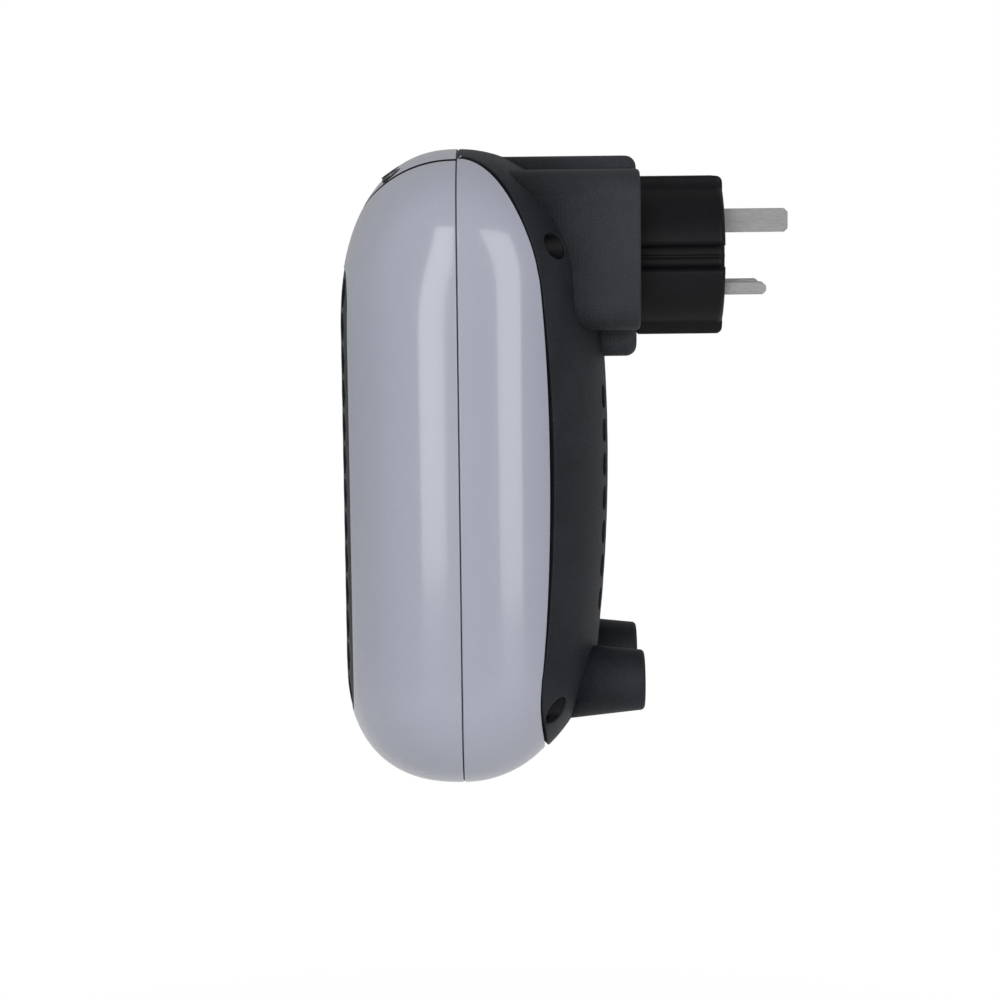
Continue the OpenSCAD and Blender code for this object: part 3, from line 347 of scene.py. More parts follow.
def sheet(loops, step, margin, lift):
    """Triangles over the first loop less the others, as flat points and faces, with a row of points
    along every edge at the margin once lifted."""
    chunk, tolerance = 500, 1e-5
    loops = [split(np.asarray(loop, float), step) for loop in loops]
    rows = [beside(loop, -margin if i else margin, lift) for i, loop in enumerate(loops)]
    rim = np.vstack(loops + rows)
    low, high = loops[0].min(0), loops[0].max(0)
    row_step = step * math.sqrt(3) / 2
    ups = np.arange(low[1] + row_step / 2, high[1], row_step)
    columns = np.arange(low[0], high[0] + step, step)
    fill = np.array([(c + step / 2 * (i % 2), up) for i, up in enumerate(ups) for c in columns])
    fill = fill[inside(fill, loops)]
    near = np.concatenate([
        np.min(np.hypot(*(part[:, None, :] - rim[None, :, :]).transpose(2, 0, 1)), axis=1)
        for part in np.array_split(fill, max(1, len(fill) // chunk))
    ])
    fill = fill[near > CLEARANCE * step]
    edges = []
    first = 0
    for loop in loops + rows:
        count = len(loop)
        edges += [(first + i, first + (i + 1) % count) for i in range(count)]
        first += count
    flat = [Vector(p) for p in np.vstack((rim, fill))]
    points, _, faces, _, _, _ = delaunay_2d_cdt(flat, edges, [], 0, tolerance)
    points = np.array([tuple(p) for p in points])
    corners = points[np.array(faces)]
    sides = corners[:, 1:] - corners[:, :1]
    area = np.abs(sides[:, 0, 0] * sides[:, 1, 1] - sides[:, 0, 1] * sides[:, 1, 0]) / 2
    kept = inside(corners.mean(axis=1), loops) & (area > LEAST_AREA * step ** 2)
    return points, [f for f, k in zip(faces, kept) if k]


def rounded_rect(w, h, r, count=10):
    """Loop of a rectangle with round corners, as points."""
    made = []
    for k, (sx, sz) in enumerate(((1, 1), (-1, 1), (-1, -1), (1, -1))):
        for i in range(count + 1):
            a = math.radians(90 * k + 90 * i / count)
            made.append((sx * (w / 2 - r) + r * math.cos(a), sz * (h / 2 - r) + r * math.sin(a)))
    return np.array(made)


def circle(r, count=28):
    """Loop of a circle, as points."""
    turn = np.linspace(0, 2 * math.pi, count, endpoint=False)
    return np.column_stack((r * np.cos(turn), r * np.sin(turn)))


def bands(count, rows):
    """Faces between the neighbours in a row of loops that have equal counts of points."""
    faces = []
    for start in range(0, (rows - 1) * count, count):
        for i in range(count):
            ahead = (i + 1) % count
            faces.append((start + i, start + ahead, start + count + ahead, start + count + i))
    return faces


def at_y(loop, y, centre=(0, 0)):
    """A loop drawn in x and z, placed at a y."""
    return np.column_stack((loop[:, 0] + centre[0], np.full(len(loop), y), loop[:, 1] + centre[1]))


def rounding(r, count=6):
    """Steps of a rounded edge: how far in and how far short of the end."""
    turns = [math.pi / 2 * i / count for i in range(count + 1)]
    return [(r * (1 - math.cos(t)), r * (1 - math.sin(t))) for t in turns]


# Materials

def node(tree, kind, **values):
    """A new shader node with its named inputs and settings."""
    made = tree.nodes.new(kind)
    for key, value in values.items():
        if hasattr(made, key):
            setattr(made, key, value)
        else:
            made.inputs[key.replace("_", " ")].default_value = value
    return made


def noise(tree, place, size, detail, stretch):
    """A noise texture with features of about the given size in millimetres."""
    scaled = node(tree, "ShaderNodeMapping", Scale=stretch)
    tree.links.new(place.outputs["Object"], scaled.inputs["Vector"])
    made = node(tree, "ShaderNodeTexNoise", Scale=1 / (size * MM), Detail=detail)
    tree.links.new(scaled.outputs["Vector"], made.inputs["Vector"])
    return made.outputs["Fac"]


def spread(tree, value, low, high):
    """A noise value taken from its usual range to the range given."""
    made = node(tree, "ShaderNodeMapRange", From_Min=0.3, From_Max=0.7, To_Min=low, To_Max=high)
    tree.links.new(value, made.inputs["Value"])
    return made.outputs["Result"]


def shade(colour, factor):
    """A colour made lighter or darker, with alpha."""
    return tuple(min(1, c * factor) for c in colour) + (1,)


def material(name, colour, roughness, vary, blotch, grain, bump, stretch=(1, 1, 1), metallic=0.0,
             coat=0.0, gloss=0.5):
    """Moulded or metal surface: blotches and speckle in its colour, uneven gloss and a fine bump."""
    uneven, coat_roughness = 0.1, 0.08
    made = bpy.data.materials.new(name)
    made.use_nodes = True
    tree = made.node_tree
    link = tree.links.new
    shader = tree.nodes["Principled BSDF"]
    place = node(tree, "ShaderNodeTexCoord")
    wide = noise(tree, place, blotch, detail=3, stretch=stretch)
    fine = noise(tree, place, grain, detail=2, stretch=stretch)
    mixed = node(tree, "ShaderNodeMath", operation="ADD")
    link(spread(tree, wide, low=-0.5, high=0.5), mixed.inputs[0])
    link(spread(tree, fine, low=0, high=1), mixed.inputs[1])
    ramp = node(tree, "ShaderNodeValToRGB")
    ramp.color_ramp.elements[0].color = shade(colour, 1 - vary)
    ramp.color_ramp.elements[1].color = shade(colour, 1 + vary)
    link(mixed.outputs[0], ramp.inputs["Fac"])
    link(ramp.outputs["Color"], shader.inputs["Base Color"])
    rough = spread(tree, wide, low=roughness * (1 - uneven), high=roughness * (1 + uneven))
    link(rough, shader.inputs["Roughness"])
    raised = node(tree, "ShaderNodeBump", Strength=bump, Distance=grain * MM)
    link(fine, raised.inputs["Height"])
    link(raised.outputs["Normal"], shader.inputs["Normal"])
    shader.inputs["Metallic"].default_value = metallic
    shader.inputs["Specular IOR Level"].default_value = gloss
    shader.inputs["Coat Weight"].default_value = coat
    shader.inputs["Coat Roughness"].default_value = coat_roughness
    return made


# Each finish by its material slot. block_plastic and mark_print are second finishes within a slot.
# Blotch and grain are the sizes of the wide and fine unevenness in millimetres.
LOOKS = {
    "cheek_plastic": dict(
        colour=(0.372, 0.388, 0.462), roughness=0.2, vary=0.012, blotch=60, grain=1.2, bump=0.012,
        coat=0.5),
    "cover_plastic": dict(
        colour=(0.0125, 0.0145, 0.019), roughness=0.5, vary=0.3, blotch=14, grain=0.45, bump=0.5,
        gloss=0.22),
    "block_plastic": dict(
        colour=(0.025, 0.027, 0.032), roughness=0.55, vary=0.2, blotch=16, grain=0.6, bump=0.6,
        gloss=0.25),
    "grille_plastic": dict(
        colour=(0.011, 0.012, 0.014), roughness=0.45, vary=0.15, blotch=10, grain=0.4, bump=0.25,
        gloss=0.22),
    "plug_plastic": dict(
        colour=(0.005, 0.0053, 0.0065), roughness=0.4, vary=0.15, blotch=12, grain=0.5, bump=0.12,
        gloss=0.16),
    "button_plastic": dict(
        colour=(0.012, 0.013, 0.015), roughness=0.4, vary=0.12, blotch=6, grain=0.35, bump=0.2,
        gloss=0.3),
    "window_plastic": dict(
        colour=(0.01, 0.01, 0.013), roughness=0.12, vary=0.15, blotch=8, grain=0.8, bump=0.01, coat=0.8),
    "mark_print": dict(
        colour=(0.62, 0.63, 0.66), roughness=0.5, vary=0.05, blotch=4, grain=0.2, bump=0.1),
    "pin_metal": dict(
        colour=(0.30, 0.30, 0.305), roughness=0.48, vary=0.1, blotch=7, grain=0.3, bump=0.12,
        stretch=(1, 0.12, 1), metallic=0.85),
    "screw_steel": dict(
        colour=(0.45, 0.45, 0.46), roughness=0.35, vary=0.12, blotch=2, grain=0.2, bump=0.2,
        metallic=1.0),
    "plate_steel": dict(
        colour=(0.42, 0.43, 0.44), roughness=0.38, vary=0.1, blotch=9, grain=0.3, bump=0.15,
        stretch=(1, 1, 0.15), metallic=1.0),
    "duct_plastic": dict(
        colour=(0.045, 0.045, 0.05), roughness=0.55, vary=0.15, blotch=12, grain=0.4, bump=0.3),
    "heater_ceramic": dict(
        colour=(0.17, 0.15, 0.13), roughness=0.8, vary=0.2, blotch=5, grain=0.3, bump=0.5),
    "heater_frame_plastic": dict(
        colour=(0.62, 0.58, 0.47), roughness=0.6, vary=0.08, blotch=8, grain=0.3, bump=0.3),
    "fin_aluminium": dict(
        colour=(0.5, 0.51, 0.52), roughness=0.4, vary=0.1, blotch=6, grain=0.2, bump=0.15,
        stretch=(1, 0.2, 1), metallic=1.0),
    "board_laminate": dict(
        colour=(0.02, 0.085, 0.04), roughness=0.35, vary=0.3, blotch=3, grain=0.5, bump=0.1),
    "component_plastic": dict(
        colour=(0.05, 0.055, 0.07), roughness=0.5, vary=0.2, blotch=4, grain=0.3, bump=0.25),
    "lead_rubber": dict(
        colour=(0.07, 0.035, 0.02), roughness=0.6, vary=0.2, blotch=6, grain=0.3, bump=0.2),
}
FINISHES = {name: material(name, **look) for name, look in LOOKS.items()}


# Piece helpers

def piece(name, points, faces, slot, body="housing", replaces=(), finish=None, outward=None):
    """A mesh piece in place, riding on its body. Its faces are turned to outward where that is given."""
    mesh = bpy.data.meshes.new(name)
    mesh.from_pydata([tuple(p) for p in np.asarray(points) * MM], [], [list(f) for f in faces])
    mesh.update()
    if outward is not None:
        facing = sum((p.normal * p.area for p in mesh.polygons), Vector())
        if facing.dot(outward) < 0:
            mesh.flip_normals()
    mesh.shade_smooth()
    mesh.materials.append(FINISHES[finish or slot])
    made = bpy.data.objects.new(name, mesh)
    bpy.context.scene.collection.objects.link(made)
    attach(made, body)
    if replaces:
        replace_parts(made, *replaces)
    return made


def thicken(made, wall):
    """Gives a sheet its wall, behind its outer face."""
    solid = made.modifiers.new("Wall", "SOLIDIFY")
    solid.thickness = wall * MM
    solid.offset = -1


def soften(made, width, angle=40):
    """Rounds the edges of a piece that turn by more than an angle."""
    round_off = made.modifiers.new("Edges", "BEVEL")
    round_off.width = width * MM
    round_off.segments = 2
    round_off.limit_method = "ANGLE"
    round_off.angle_limit = math.radians(angle)
    round_off.use_clamp_overlap = False
    round_off.harden_normals = True


def surface(name, half, loops, slot, step, wall, edge, lift=None, **options):
    """A moulded sheet on one half of the body, with its wall and rounded edges."""
    lift = lift or half.lift
    flat, faces = sheet(loops, step, EDGE_ROW * edge, lift)
    points = half.world(lift(flat))
    made = piece(name, points, faces, slot, outward=Vector((0, half.side, 0)), **options)
    thicken(made, wall)
    soften(made, edge)
    return made


def loft(name, loops, slot, **options):
    """A closed skin over a row of equal loops, shaded mostly by its wide faces."""
    count, rows = len(loops[0]), len(loops)
    faces = bands(count, rows)
    faces.append(tuple(range(count))[::-1])
    faces.append(tuple(range((rows - 1) * count, rows * count)))
    made = piece(name, np.vstack(loops), faces, slot, **options)
    even = made.modifiers.new("Even", "WEIGHTED_NORMAL")
    even.weight = 90
    return made


# The grey half shells

def strip_edge(grow):
    """The control strip's edge grown by a length, from its right end on the seam to its left end.

    It is given by u and v. The outline is drawn square to the buttons, where y runs down the strip,
    and falls onto the round top.
    """
    half, corner = STRIP_HALF + grow, STRIP_CORNER + grow
    turns = np.linspace(math.pi / 2, 0, num=25)
    x = half - corner + corner * np.sin(turns)
    y = STRIP_LOW + grow - corner + corner * np.cos(turns)
    angle = math.radians(CONTROL_ANGLE) - np.arcsin(y / reach(x))
    right = FRONT.places(x, HALF_H - DEPTH + reach(x) * np.sin(angle))
    right = np.vstack(([(FRONT.across(half), FRONT.v_max)], right))
    return np.vstack((right, right[::-1] * (-1, 1)))


def front_shell():
    """Front half shell, open for the control strip and the grille."""
    outline = FRONT.around(strip_edge(STRIP_GAP + STRIP_BACK))
    opening = rounded_rect(GRILLE_W, GRILLE_H, GRILLE_R) + (0, GRILLE_Z)
    opening = FRONT.flat(*split(opening, STEP).T)
    surface("front_shell", FRONT, [outline, opening], "cheek_plastic", step=STEP, wall=WALL,
            edge=SHELL_EDGE, replaces=["front_housing"])


def cover_edge(grow):
    """Right-hand edge of the rear cover in x and z, from its top on the seam to its lowest point."""
    turns = np.linspace(math.pi / 2, 0, num=120)[:-1]
    rise = COVER_HIGH + grow - COVER_BEND_HIGH
    x = (COVER_HALF + grow) * np.cos(turns) ** (2 / COVER_HIGH_POWER)
    z = COVER_BEND_HIGH + rise * np.sin(turns) ** (2 / COVER_HIGH_POWER)
    # The top starts where this curve comes below the seam
    below = HALF_H - DEPTH + reach(x) - z
    first = np.argmax(below > 0)
    share = below[first] / (below[first] - below[first - 1])
    x[first - 1] = x[first] + (x[first - 1] - x[first]) * share
    z[first - 1] = HALF_H - DEPTH + reach(x[first - 1])
    top = np.column_stack((x, z))[first - 1:]

    z = np.linspace(COVER_BEND_HIGH, COVER_BEND_LOW, num=60)[:-1]
    middle = (COVER_BEND_HIGH + COVER_BEND_LOW) / 2
    waist = 1 - ((z - middle) / (COVER_BEND_HIGH - middle)) ** 2
    sides = np.column_stack((COVER_HALF - (COVER_HALF - COVER_WAIST) * waist + grow, z))

    turns = np.linspace(0, math.pi / 2, num=50)
    drop = COVER_BEND_LOW - COVER_LOW + grow
    x = (COVER_HALF + grow) * np.cos(turns) ** (2 / COVER_LOW_POWER)
    z = COVER_BEND_LOW - drop * np.sin(turns) ** (2 / COVER_LOW_POWER)
    return np.vstack((top, sides, np.column_stack((x, z))))


def both_edges(grow):
    """The cover's edge as u and v, from the right end of its top round to the left end."""
    right = REAR.places(*cover_edge(grow).T)
    right[0][1] = REAR.v_max
    left = right[::-1] * (-1, 1)
    return np.vstack((right, left[1:]))


def rear_shell():
    """Rear half shell, whose two cheeks meet under the cover's lower edge."""
    surface("rear_shell", REAR, [REAR.around(both_edges(FIT))], "cheek_plastic", step=STEP, wall=WALL,
            edge=SHELL_EDGE, replaces=["rear_housing"])


def cover_lip():
    """Ledge under the edge of the rear cover, which closes the gap round it."""
    outer = REAR.closed(both_edges(grow=3), short=0.5)
    inner = REAR.closed(both_edges(grow=-0.5), short=2)
    surface("cover_lip", REAR, [outer, inner], "grille_plastic", step=1.8, wall=1.0, edge=0.2,
            lift=REAR.sunk(aside=1, deep=3.2, up=1))


def seam_tongue():
    """Band behind the seam that keys the two shells together."""
    turns = np.linspace(0, math.pi / 2, num=60)
    x = (HALF_W - TONGUE_IN) * np.cos(turns) ** (2 / CHEEK_POWER)
    z = HALF_H - DEPTH + reach(x * HALF_W / (HALF_W - TONGUE_IN)) * (DEPTH - TONGUE_IN) / DEPTH
    quarter = np.column_stack((x, z))
    upper = np.vstack((quarter, quarter[::-1][1:] * (-1, 1)))
    outline = np.vstack((upper, (0, HALF_H - HALF_LOW) - upper))
    front, rear = at_y(outline, SEAM_Y - TONGUE_HALF), at_y(outline, SEAM_Y + TONGUE_HALF)
    points = np.vstack((front, rear)) + (0, 0, BODY_Z)
    made = piece("seam_tongue", points, bands(len(outline), 2), "grille_plastic")
    thicken(made, TONGUE_WALL)


front_shell()
rear_shell()
cover_lip()
seam_tongue()


# The control strip

def control_height():
    """Length up the front surface at which the buttons and the window face out."""
    depth, height = FRONT.profile(np.zeros_like(FRONT.turns), FRONT.turns)
    turn = np.degrees(np.arctan2(height - (HALF_H - DEPTH), np.maximum(depth, TINY)))
    return np.interp(CONTROL_ANGLE, turn[height > 0], FRONT.lengths[height > 0])


CONTROL_V = control_height()


def window_loop(gap):
    """Outline of the display window on the flat map, drawn in by a gap."""
    outline = rounded_rect(WINDOW_W - 2 * gap, WINDOW_H - 2 * gap, WINDOW_R - gap, count=5)
    return FRONT.chart(outline + (0, CONTROL_V))


def control_strip():
    """The strip, whose cut edge is dark, with a ledge under it that closes the groove, and its window."""
    loops = [FRONT.closed(strip_edge(STRIP_OVER)), window_loop(0)]
    for x in BUTTONS.values():
        loops.append(FRONT.chart(circle(BUTTON_R + KEY_GAP) + (FRONT.across(x), CONTROL_V)))
    made = surface("control_strip", FRONT, loops, "cheek_plastic", step=1.8, wall=WALL, edge=0.25,
                   replaces=["control_panel"])
    made.data.materials.append(FINISHES["grille_plastic"])
    made.modifiers["Wall"].material_offset_rim = 1

    outer = FRONT.closed(strip_edge(grow=2.9), short=0.5)
    inner = FRONT.closed(strip_edge(grow=-0.3), short=3)
    surface("strip_lip", FRONT, [outer, inner], "grille_plastic", step=2.5, wall=1.4, edge=0.2,
            lift=FRONT.sunk(aside=1.8, deep=1.8, up=1.8))
    surface("display_glass", FRONT, [window_loop(KEY_GAP)], "window_plastic", step=1.2, wall=1.8,
            edge=0.25, replaces=["display_window"])


def mark_strokes(kind):
    """Strokes of a button's sign, each a list of points, in millimetres on the button's face."""
    def arc(r, start, end):
        turns = np.radians(np.linspace(start, end, num=25))
        return [(r * math.cos(t), r * math.sin(t)) for t in turns]

    if kind == "power":
        return [arc(1.5, 125, 415), [(0, 0.5), (0, 2.0)]]
    if kind == "timer":
        return [arc(1.7, 0, 360), [(0, 1.1), (0, 0), (0.8, 0)]]
    if kind == "cooler":
        return [[(-1.5, 0), (1.5, 0)]]
    return [[(-1.5, 0), (1.5, 0)], [(0, -1.5), (0, 1.5)]]


def ribbon(stroke, width):
    """Points and faces of a flat ribbon along a stroke."""
    stroke = np.array(stroke)
    along = np.gradient(stroke, axis=0)
    along = along / np.linalg.norm(along, axis=1)[:, None]
    aside = np.column_stack((-along[:, 1], along[:, 0])) * width / 2
    points = np.vstack((stroke + aside, stroke - aside))
    count = len(stroke)
    return points, [(i, i + 1, count + i + 1, count + i) for i in range(count - 1)]


def button(kind, x):
    """A cap with its sign. It leans with the strip's slope, and its skirt narrows to clear the hole."""
    tilt = math.radians(CONTROL_ANGLE)
    out = np.array((0, -math.cos(tilt), math.sin(tilt)))
    up = np.array((0, math.sin(tilt), math.cos(tilt)))
    slope = (reach(x + 1) - reach(x - 1)) / 2
    side = np.array((1, 0, 0)) + out * slope
    centre = FRONT.world(FRONT.lift(FRONT.chart(np.array([(FRONT.across(x), CONTROL_V)]))))[0]

    def on_face(a, b, height):
        return centre + side * a + up * b + out * height

    ring = circle(1, count=40)
    points = [on_face(0, 0, CAP[0][1])]
    for share, height in CAP[1:]:
        points += [on_face(a, b, height) for a, b in ring * BUTTON_R * share]
    count = len(ring)
    faces = [(0, 1 + i, 1 + (i + 1) % count) for i in range(count)]
    faces += [(1 + a, 1 + d, 1 + c, 1 + b) for a, b, c, d in bands(count, len(CAP) - 1)]
    piece(f"{kind}_cap", points, faces, "button_plastic", body=f"{kind}_key",
          replaces=[f"{kind}_button"])

    points, faces = [], []
    for stroke in mark_strokes(kind):
        places, quads = ribbon(stroke, MARK_WIDTH)
        faces += [tuple(i + len(points) for i in quad) for quad in quads]
        points += [on_face(a, b, MARK_RISE + MARK_CLIMB * math.hypot(a, b)) for a, b in places]
    piece(f"{kind}_mark", points, faces, "button_plastic", body=f"{kind}_key", finish="mark_print",
          outward=Vector(out))


control_strip()
for kind, x in BUTTONS.items():
    button(kind, x)


# The outlet grille

def grille():
    """Honeycomb grille that follows the front surface, with the cells that fit inside its rim."""
    outline_step, cell_step = 2, 1.4
    outline = rounded_rect(GRILLE_W - 2 * FIT, GRILLE_H - 2 * FIT, GRILLE_R - FIT) + (0, GRILLE_Z)
    loops = [FRONT.flat(*split(outline, outline_step).T)]
    column = CELL_PITCH * HEX_COLUMN
    edge = CELL / 2 + SIDE_RIM
    columns = math.floor((GRILLE_W / 2 - edge) / column)
    rows = math.floor((GRILLE_H / 2 - edge) / CELL_PITCH + 0.5)
    corner = (GRILLE_W / 2 - GRILLE_R, GRILLE_H / 2 - GRILLE_R)
    room = GRILLE_R - CELL * CELL_REACH - CORNER_RIM
    cell = circle(1, count=6) * CELL / 2 / HEX_COLUMN
    for c in range(-columns, columns + 1):
        for r in range(-rows, rows + 1):
            x = c * column
            z = (r + (abs(c) + 1) % 2 / 2) * CELL_PITCH
            if math.hypot(max(0, abs(x) - corner[0]), max(0, abs(z) - corner[1])) < room:
                loops.append(FRONT.flat(*split(cell + (x, z + GRILLE_Z), cell_step).T))

    def sunk(flat):
        return FRONT.lift(flat) - (0, GRILLE_SINK, 0)

    surface("outlet_grille", FRONT, loops, "grille_plastic", step=1.6, wall=GRILLE_WALL, edge=0.35,
            lift=sunk, replaces=["front_grille"])


grille()


# The rear cover with its block, feet and screw wells

def bulged(flat):
    """The rear surface with the cover's bulge on it."""
    points = REAR.lift(flat)
    x, z = points[:, 0], points[:, 2]
    swell = BULGE * np.maximum(0, 1 - (x / COVER_HALF) ** 2)
    points[:, 1] += swell * np.maximum(0, 1 - ((z - BULGE_Z) / BULGE_SPAN) ** 2)
    return points


def rear_cover():
    """The cover's skin with its inlet holes and the mouths of its screw wells."""
    loops = [REAR.closed(both_edges(0))]
    for c in range(-VENT_SIDE, VENT_SIDE + 1):
        for r in range(VENT_ROWS):
            z = VENT_TOP - (r + abs(c) % 2 / 2) * VENT_PITCH
            loops.append(REAR.flat(*(circle(VENT_R) + (c * VENT_PITCH * HEX_COLUMN, z)).T))
    for side in SIDES.values():
        for end in ENDS.values():
            loops.append(REAR.flat(*(circle(WELL_R) + (side * WELL_X, end * WELL_Z)).T))
    surface("cover_skin", REAR, loops, "cover_plastic", step=2.0, wall=COVER_WALL, edge=0.4,
            lift=bulged, replaces=["rear_cover"])


def screw_wells():
    """Walls and floors of the four wells."""
    ring = circle(WELL_R)
    count = len(ring)
    faces = bands(count, 2) + [tuple(range(count, 2 * count))]
    for side_name, side in SIDES.items():
        for end_name, end in ENDS.items():
            seen = ring + (side * WELL_X, end * WELL_Z)
            mouth = bulged(REAR.flat(*seen.T)) - (0, WELL_SINK, 0)
            floor = mouth * (1, 0, 1) + (0, WELL_FLOOR, 0)
            points = REAR.world(np.vstack((mouth, floor)))
            piece(f"screw_well_{side_name}_{end_name}", points, faces, "cover_plastic",
                  finish="plug_plastic")


def block_outline(block_in, lobe_in):
    """Outline of the plug block and its lobes, each drawn in by a length, as points."""
    half, corner = BLOCK_W / 2 - block_in, BLOCK_CORNER - block_in
    lobe_half, lobe_end, lobe_corner = LOBE_HALF - lobe_in, LOBE_REACH - lobe_in, LOBE_CORNER - lobe_in

    def arc(start, count):
        turns = np.linspace(start, math.pi / 2, count)
        return np.column_stack((np.cos(turns), np.sin(turns)))

    def quarter(level):
        block = arc(0, count=13) * corner + (half - corner, level - corner)
        centre = (lobe_half - lobe_corner, lobe_end - lobe_corner)
        first = math.asin(np.clip((level - centre[1]) / lobe_corner, 0, 1))
        lobe = arc(first, count=9)[1:] * lobe_corner + centre
        return np.vstack((block, (centre[0] + lobe_corner * math.cos(first), level), lobe))

    upper = quarter(BLOCK_H / 2 + BLOCK_UP - block_in)
    lower = quarter(BLOCK_H / 2 - BLOCK_UP - block_in)
    return np.vstack((upper, upper[::-1] * (-1, 1), lower * (-1, -1), lower[::-1] * (1, -1)))


def block_and_lobes():
    """Plug block and lobes as one skin, with a rounding for each and the opening for the neck."""
    loops = [at_y(block_outline(0, 0), SEAM_Y + BLOCK_ROOT)]
    for lobe_in, short in rounding(LOBE_ROUND, count=10):
        left = max(0, BLOCK_ROUND - short)
        block_in = BLOCK_ROUND - math.sqrt(BLOCK_ROUND ** 2 - left ** 2)
        loops.append(at_y(block_outline(block_in, lobe_in), BLOCK_END - short))
    face = block_outline(BLOCK_ROUND, LOBE_ROUND)
    socket = face * SOCKET_R / np.hypot(*face.T)[:, None]
    loops.append(at_y(socket, BLOCK_END))
    loops.append(at_y(socket, BLOCK_END - SOCKET_DEPTH))
    loft("plug_block", loops, "cover_plastic", finish="block_plastic")


def feet():
    """Two tapered feet with rounded tips."""
    for side_name, side in SIDES.items():
        rings = [(FOOT_R + FOOT_TAPER * (FOOT_TIP - FOOT_ROOT), FOOT_ROOT)]
        for inset, short in rounding(FOOT_ROUND):
            rings.append((FOOT_R + FOOT_TAPER * short - inset, FOOT_TIP - short))
        rings.append((FOOT_R - FOOT_RIM, FOOT_TIP))
        rings.append((FOOT_R - FOOT_RIM - FOOT_HOLLOW, FOOT_TIP - FOOT_HOLLOW))
        loops = [at_y(circle(r, count=64), y, (side * FOOT_X, FOOT_Z)) for r, y in rings]
        loft(f"foot_{side_name}", loops, "cover_plastic")


rear_cover()
screw_wells()
block_and_lobes()
feet()


# The plug

def boss_outline():
    """Outline of the plug's boss: round, with a key above and below and a ridged notch at each side."""
    low = math.asin(NOTCH_HALF / BOSS_R)
    high = math.acos(KEY_HALF / BOSS_R)
    right = [(RIDGE_TOP, 0), (RIDGE_TOP, RIDGE_HALF), (NOTCH_FLOOR, RIDGE_HALF), (NOTCH_FLOOR, NOTCH_HALF)]
    right += [(BOSS_R * math.cos(a), BOSS_R * math.sin(a)) for a in np.linspace(low, high, num=14)]
    right += [(KEY_HALF, KEY_TOP - KEY_BEVEL), (KEY_HALF - KEY_BEVEL, KEY_TOP)]
    right += [(KEY_HALF / 2, KEY_TOP), (0, KEY_TOP)]
    left = [(-x, z) for x, z in right[::-1]]
    upper = right + left[1:]
    return np.array(upper + [(-x, -z) for x, z in upper[1:-1]])


def plug():
    """The boss and the neck behind it, on which the body turns."""
    shape = boss_outline()
    loops = [at_y(shape * (1 - BOSS_BEVEL / BOSS_R), BOSS_BACK), at_y(shape, BOSS_BACK + BOSS_BEVEL)]
    for inset, short in rounding(BOSS_ROUND):
        loops.append(at_y(shape * (1 - inset / BOSS_R), -short))
    made = loft("plug_boss", loops, "plug_plastic", body="plug", replaces=["plug_body"])
    made.data.set_sharp_from_angle(angle=math.radians(30))
    ring = circle(NECK_R, count=72)
    neck = [at_y(ring, BOSS_BACK - NECK_BEHIND), at_y(ring, BOSS_BACK + NECK_AHEAD)]
    loft("plug_neck", neck, "plug_plastic", body="plug")


plug()


# Finishes of the nodes that keep their shape

replaced = {n for o in bpy.context.scene.objects for n in o.get("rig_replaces", [])}
for row in frame["record"]["subparts"]:
    name = row["node"]
    if name in replaced:
        continue
    shown = next(o for o in bpy.context.scene.objects if o.get("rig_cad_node") == name)
    shown.data.materials.clear()
    shown.data.materials.append(FINISHES[row["material_slot"]])
    if name.endswith("_pin"):
        soften(shown, PIN_EDGE, angle=30)


# Floor, light and camera, in metres

def seen_white(tree):
    """How far a ray sees the plain white: wholly for the camera, and a little for reflections."""
    reflected = 0.12
    rays = node(tree, "ShaderNodeLightPath")
    dim = node(tree, "ShaderNodeMath", operation="MULTIPLY_ADD")
    dim.inputs[1].default_value = reflected
    tree.links.new(rays.outputs["Is Glossy Ray"], dim.inputs[0])
    tree.links.new(rays.outputs["Is Camera Ray"], dim.inputs[2])
    clear = node(tree, "ShaderNodeMath", operation="MAXIMUM")
    tree.links.new(dim.outputs[0], clear.inputs[0])
    tree.links.new(rays.outputs["Is Transmission Ray"], clear.inputs[1])
    return clear.outputs[0]


def mix(tree, share, plain, white, end):
    """Shows the second shader by a share, and else the first, at an output node."""
    made = node(tree, "ShaderNodeMixShader")
    tree.links.new(share, made.inputs["Fac"])
    tree.links.new(plain.outputs[0], made.inputs[1])
    tree.links.new(white.outputs[0], made.inputs[2])
    tree.links.new(made.outputs[0], tree.nodes[end].inputs["Surface"])


def surroundings():
    """Even pale light from all round, seen as white."""
    world = bpy.data.worlds.new("Studio")
    bpy.context.scene.world = world
    world.use_nodes = True
    tree = world.node_tree
    plain = tree.nodes["Background"]
    plain.inputs["Color"].default_value = (1, 1, 1, 1)
    plain.inputs["Strength"].default_value = 0.28
    white = node(tree, "ShaderNodeBackground", Color=(1, 1, 1, 1), Strength=1.0)
    mix(tree, seen_white(tree), plain, white, "World Output")


def floor_paint():
    """Grey paint that is seen as white far from the object and keeps a little shadow near it."""
    made = bpy.data.materials.new("floor_paint")
    made.use_nodes = True
    tree = made.node_tree
    paint = tree.nodes["Principled BSDF"]
    paint.inputs["Base Color"].default_value = (0.8, 0.8, 0.8, 1)
    paint.inputs["Roughness"].default_value = 0.9
    glow = node(tree, "ShaderNodeEmission", Strength=1.0)
    place = node(tree, "ShaderNodeTexCoord")
    far = node(tree, "ShaderNodeVectorMath", operation="LENGTH")
    tree.links.new(place.outputs["Object"], far.inputs[0])
    fade = node(tree, "ShaderNodeMapRange", From_Min=0.1, From_Max=0.55, To_Min=0.8, To_Max=1.0)
    tree.links.new(far.outputs["Value"], fade.inputs["Value"])
    share = node(tree, "ShaderNodeMath", operation="MULTIPLY")
    tree.links.new(seen_white(tree), share.inputs[0])
    tree.links.new(fade.outputs["Result"], share.inputs[1])
    mix(tree, share.outputs[0], paint, glow, "Material Output")
    return made


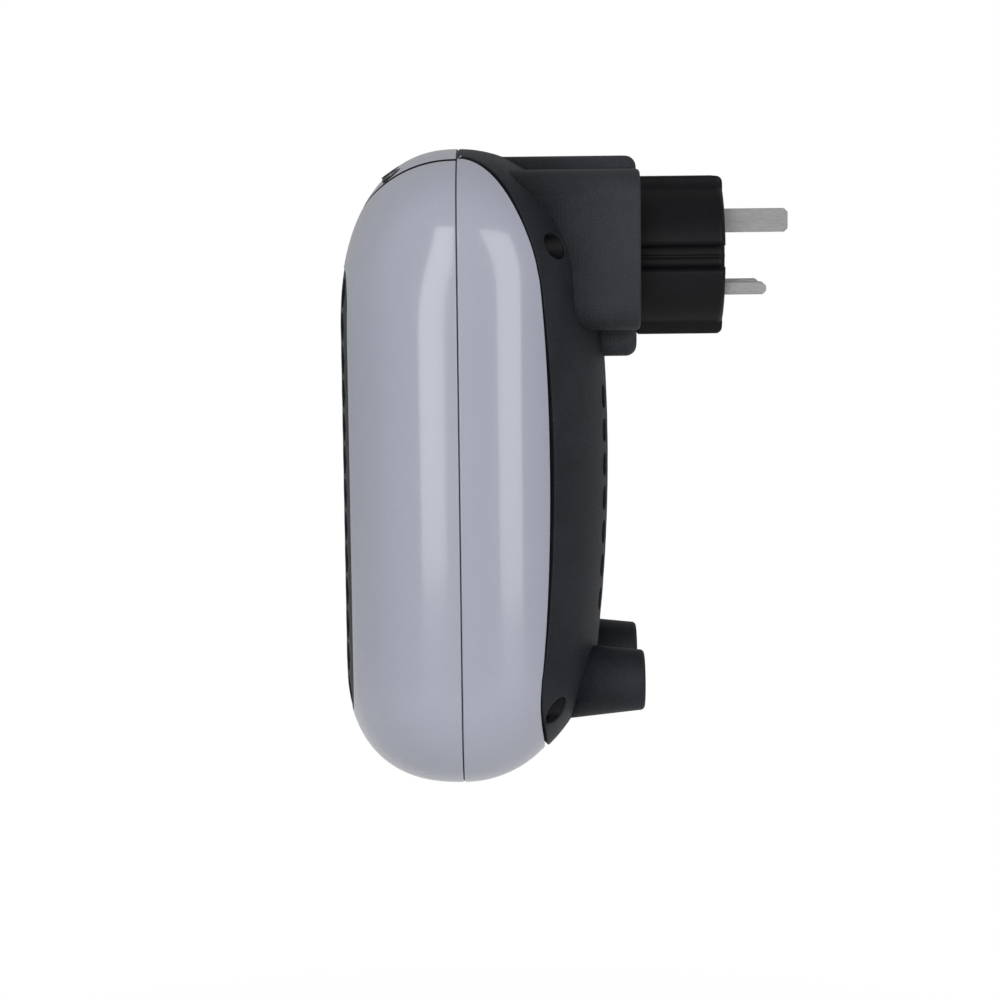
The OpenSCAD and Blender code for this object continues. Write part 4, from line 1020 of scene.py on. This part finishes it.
def floor():
    """A wide floor below the object."""
    half, drop = 40.0, 0.42
    corners = [(-half, -half, 0), (half, -half, 0), (half, half, 0), (-half, half, 0)]
    mesh = bpy.data.meshes.new("floor")
    mesh.from_pydata(corners, [], [(0, 1, 2, 3)])
    mesh.materials.append(floor_paint())
    made = bpy.data.objects.new("floor", mesh)
    made.location = (0, SEAM_Y * MM, -drop)
    bpy.context.scene.collection.objects.link(made)


def direction(azimuth, elevation):
    """Unit vector out to a place round the object; azimuth 90 is +X and 0 is -Y."""
    a, e = math.radians(azimuth), math.radians(elevation)
    return Vector((math.sin(a) * math.cos(e), -math.cos(a) * math.cos(e), math.sin(e)))


def lamp(name, azimuth, elevation, distance, width, height, radiance, mirrored):
    """A soft box that faces the middle of the body. One that isn't mirrored only fills in shadows."""
    light = bpy.data.lights.new(name, "AREA")
    light.shape = "RECTANGLE"
    light.size = width
    light.size_y = height
    light.energy = radiance * math.pi * width * height
    made = bpy.data.objects.new(name, light)
    out = direction(azimuth, elevation)
    made.location = Vector((0, SEAM_Y, BODY_Z)) * MM + out * distance
    made.rotation_mode = "QUATERNION"
    made.rotation_quaternion = out.to_track_quat("Z", "Y")
    made.visible_glossy = mirrored
    bpy.context.scene.collection.objects.link(made)


def lamps():
    """Two upright boxes that show as bands in the grey shells, and three that fill in shadows."""
    lamp("front_box", azimuth=76, elevation=13, distance=1.3, width=0.46, height=1.12, radiance=3.0,
         mirrored=True)
    lamp("rear_box", azimuth=128, elevation=12, distance=1.3, width=0.74, height=1.12, radiance=2.5,
         mirrored=True)
    lamp("front_fill", azimuth=10, elevation=28, distance=1.4, width=1.0, height=1.0, radiance=1.9,
         mirrored=False)
    lamp("top_box", azimuth=90, elevation=80, distance=1.4, width=0.9, height=0.9, radiance=0.8,
         mirrored=False)
    lamp("far_box", azimuth=270, elevation=25, distance=1.5, width=1.4, height=1.2, radiance=1.0,
         mirrored=False)


def camera():
    """The photo's view, from the object's right side and a little above."""
    lens, sensor, roll, distance = 93.6, 36, -0.65, 0.890
    target = Vector((0, -0.0752, -0.0832))
    data = bpy.data.cameras.new("Camera")
    data.sensor_width = sensor
    data.lens = lens
    data.clip_start = 0.01
    eye = bpy.data.objects.new("Camera", data)
    bpy.context.scene.collection.objects.link(eye)
    out = direction(azimuth=90, elevation=7.6)
    right = Vector((0, 0, 1)).cross(out).normalized()
    up = out.cross(right)
    turn = Matrix.Rotation(math.radians(roll), 3, out)
    axes = Matrix((turn @ right, turn @ up, out)).transposed().to_4x4()
    axes.translation = target + out * distance
    eye.matrix_world = axes
    bpy.context.scene.camera = eye


surroundings()
floor()
lamps()
camera()
bpy.context.scene.view_settings.view_transform = "Standard"
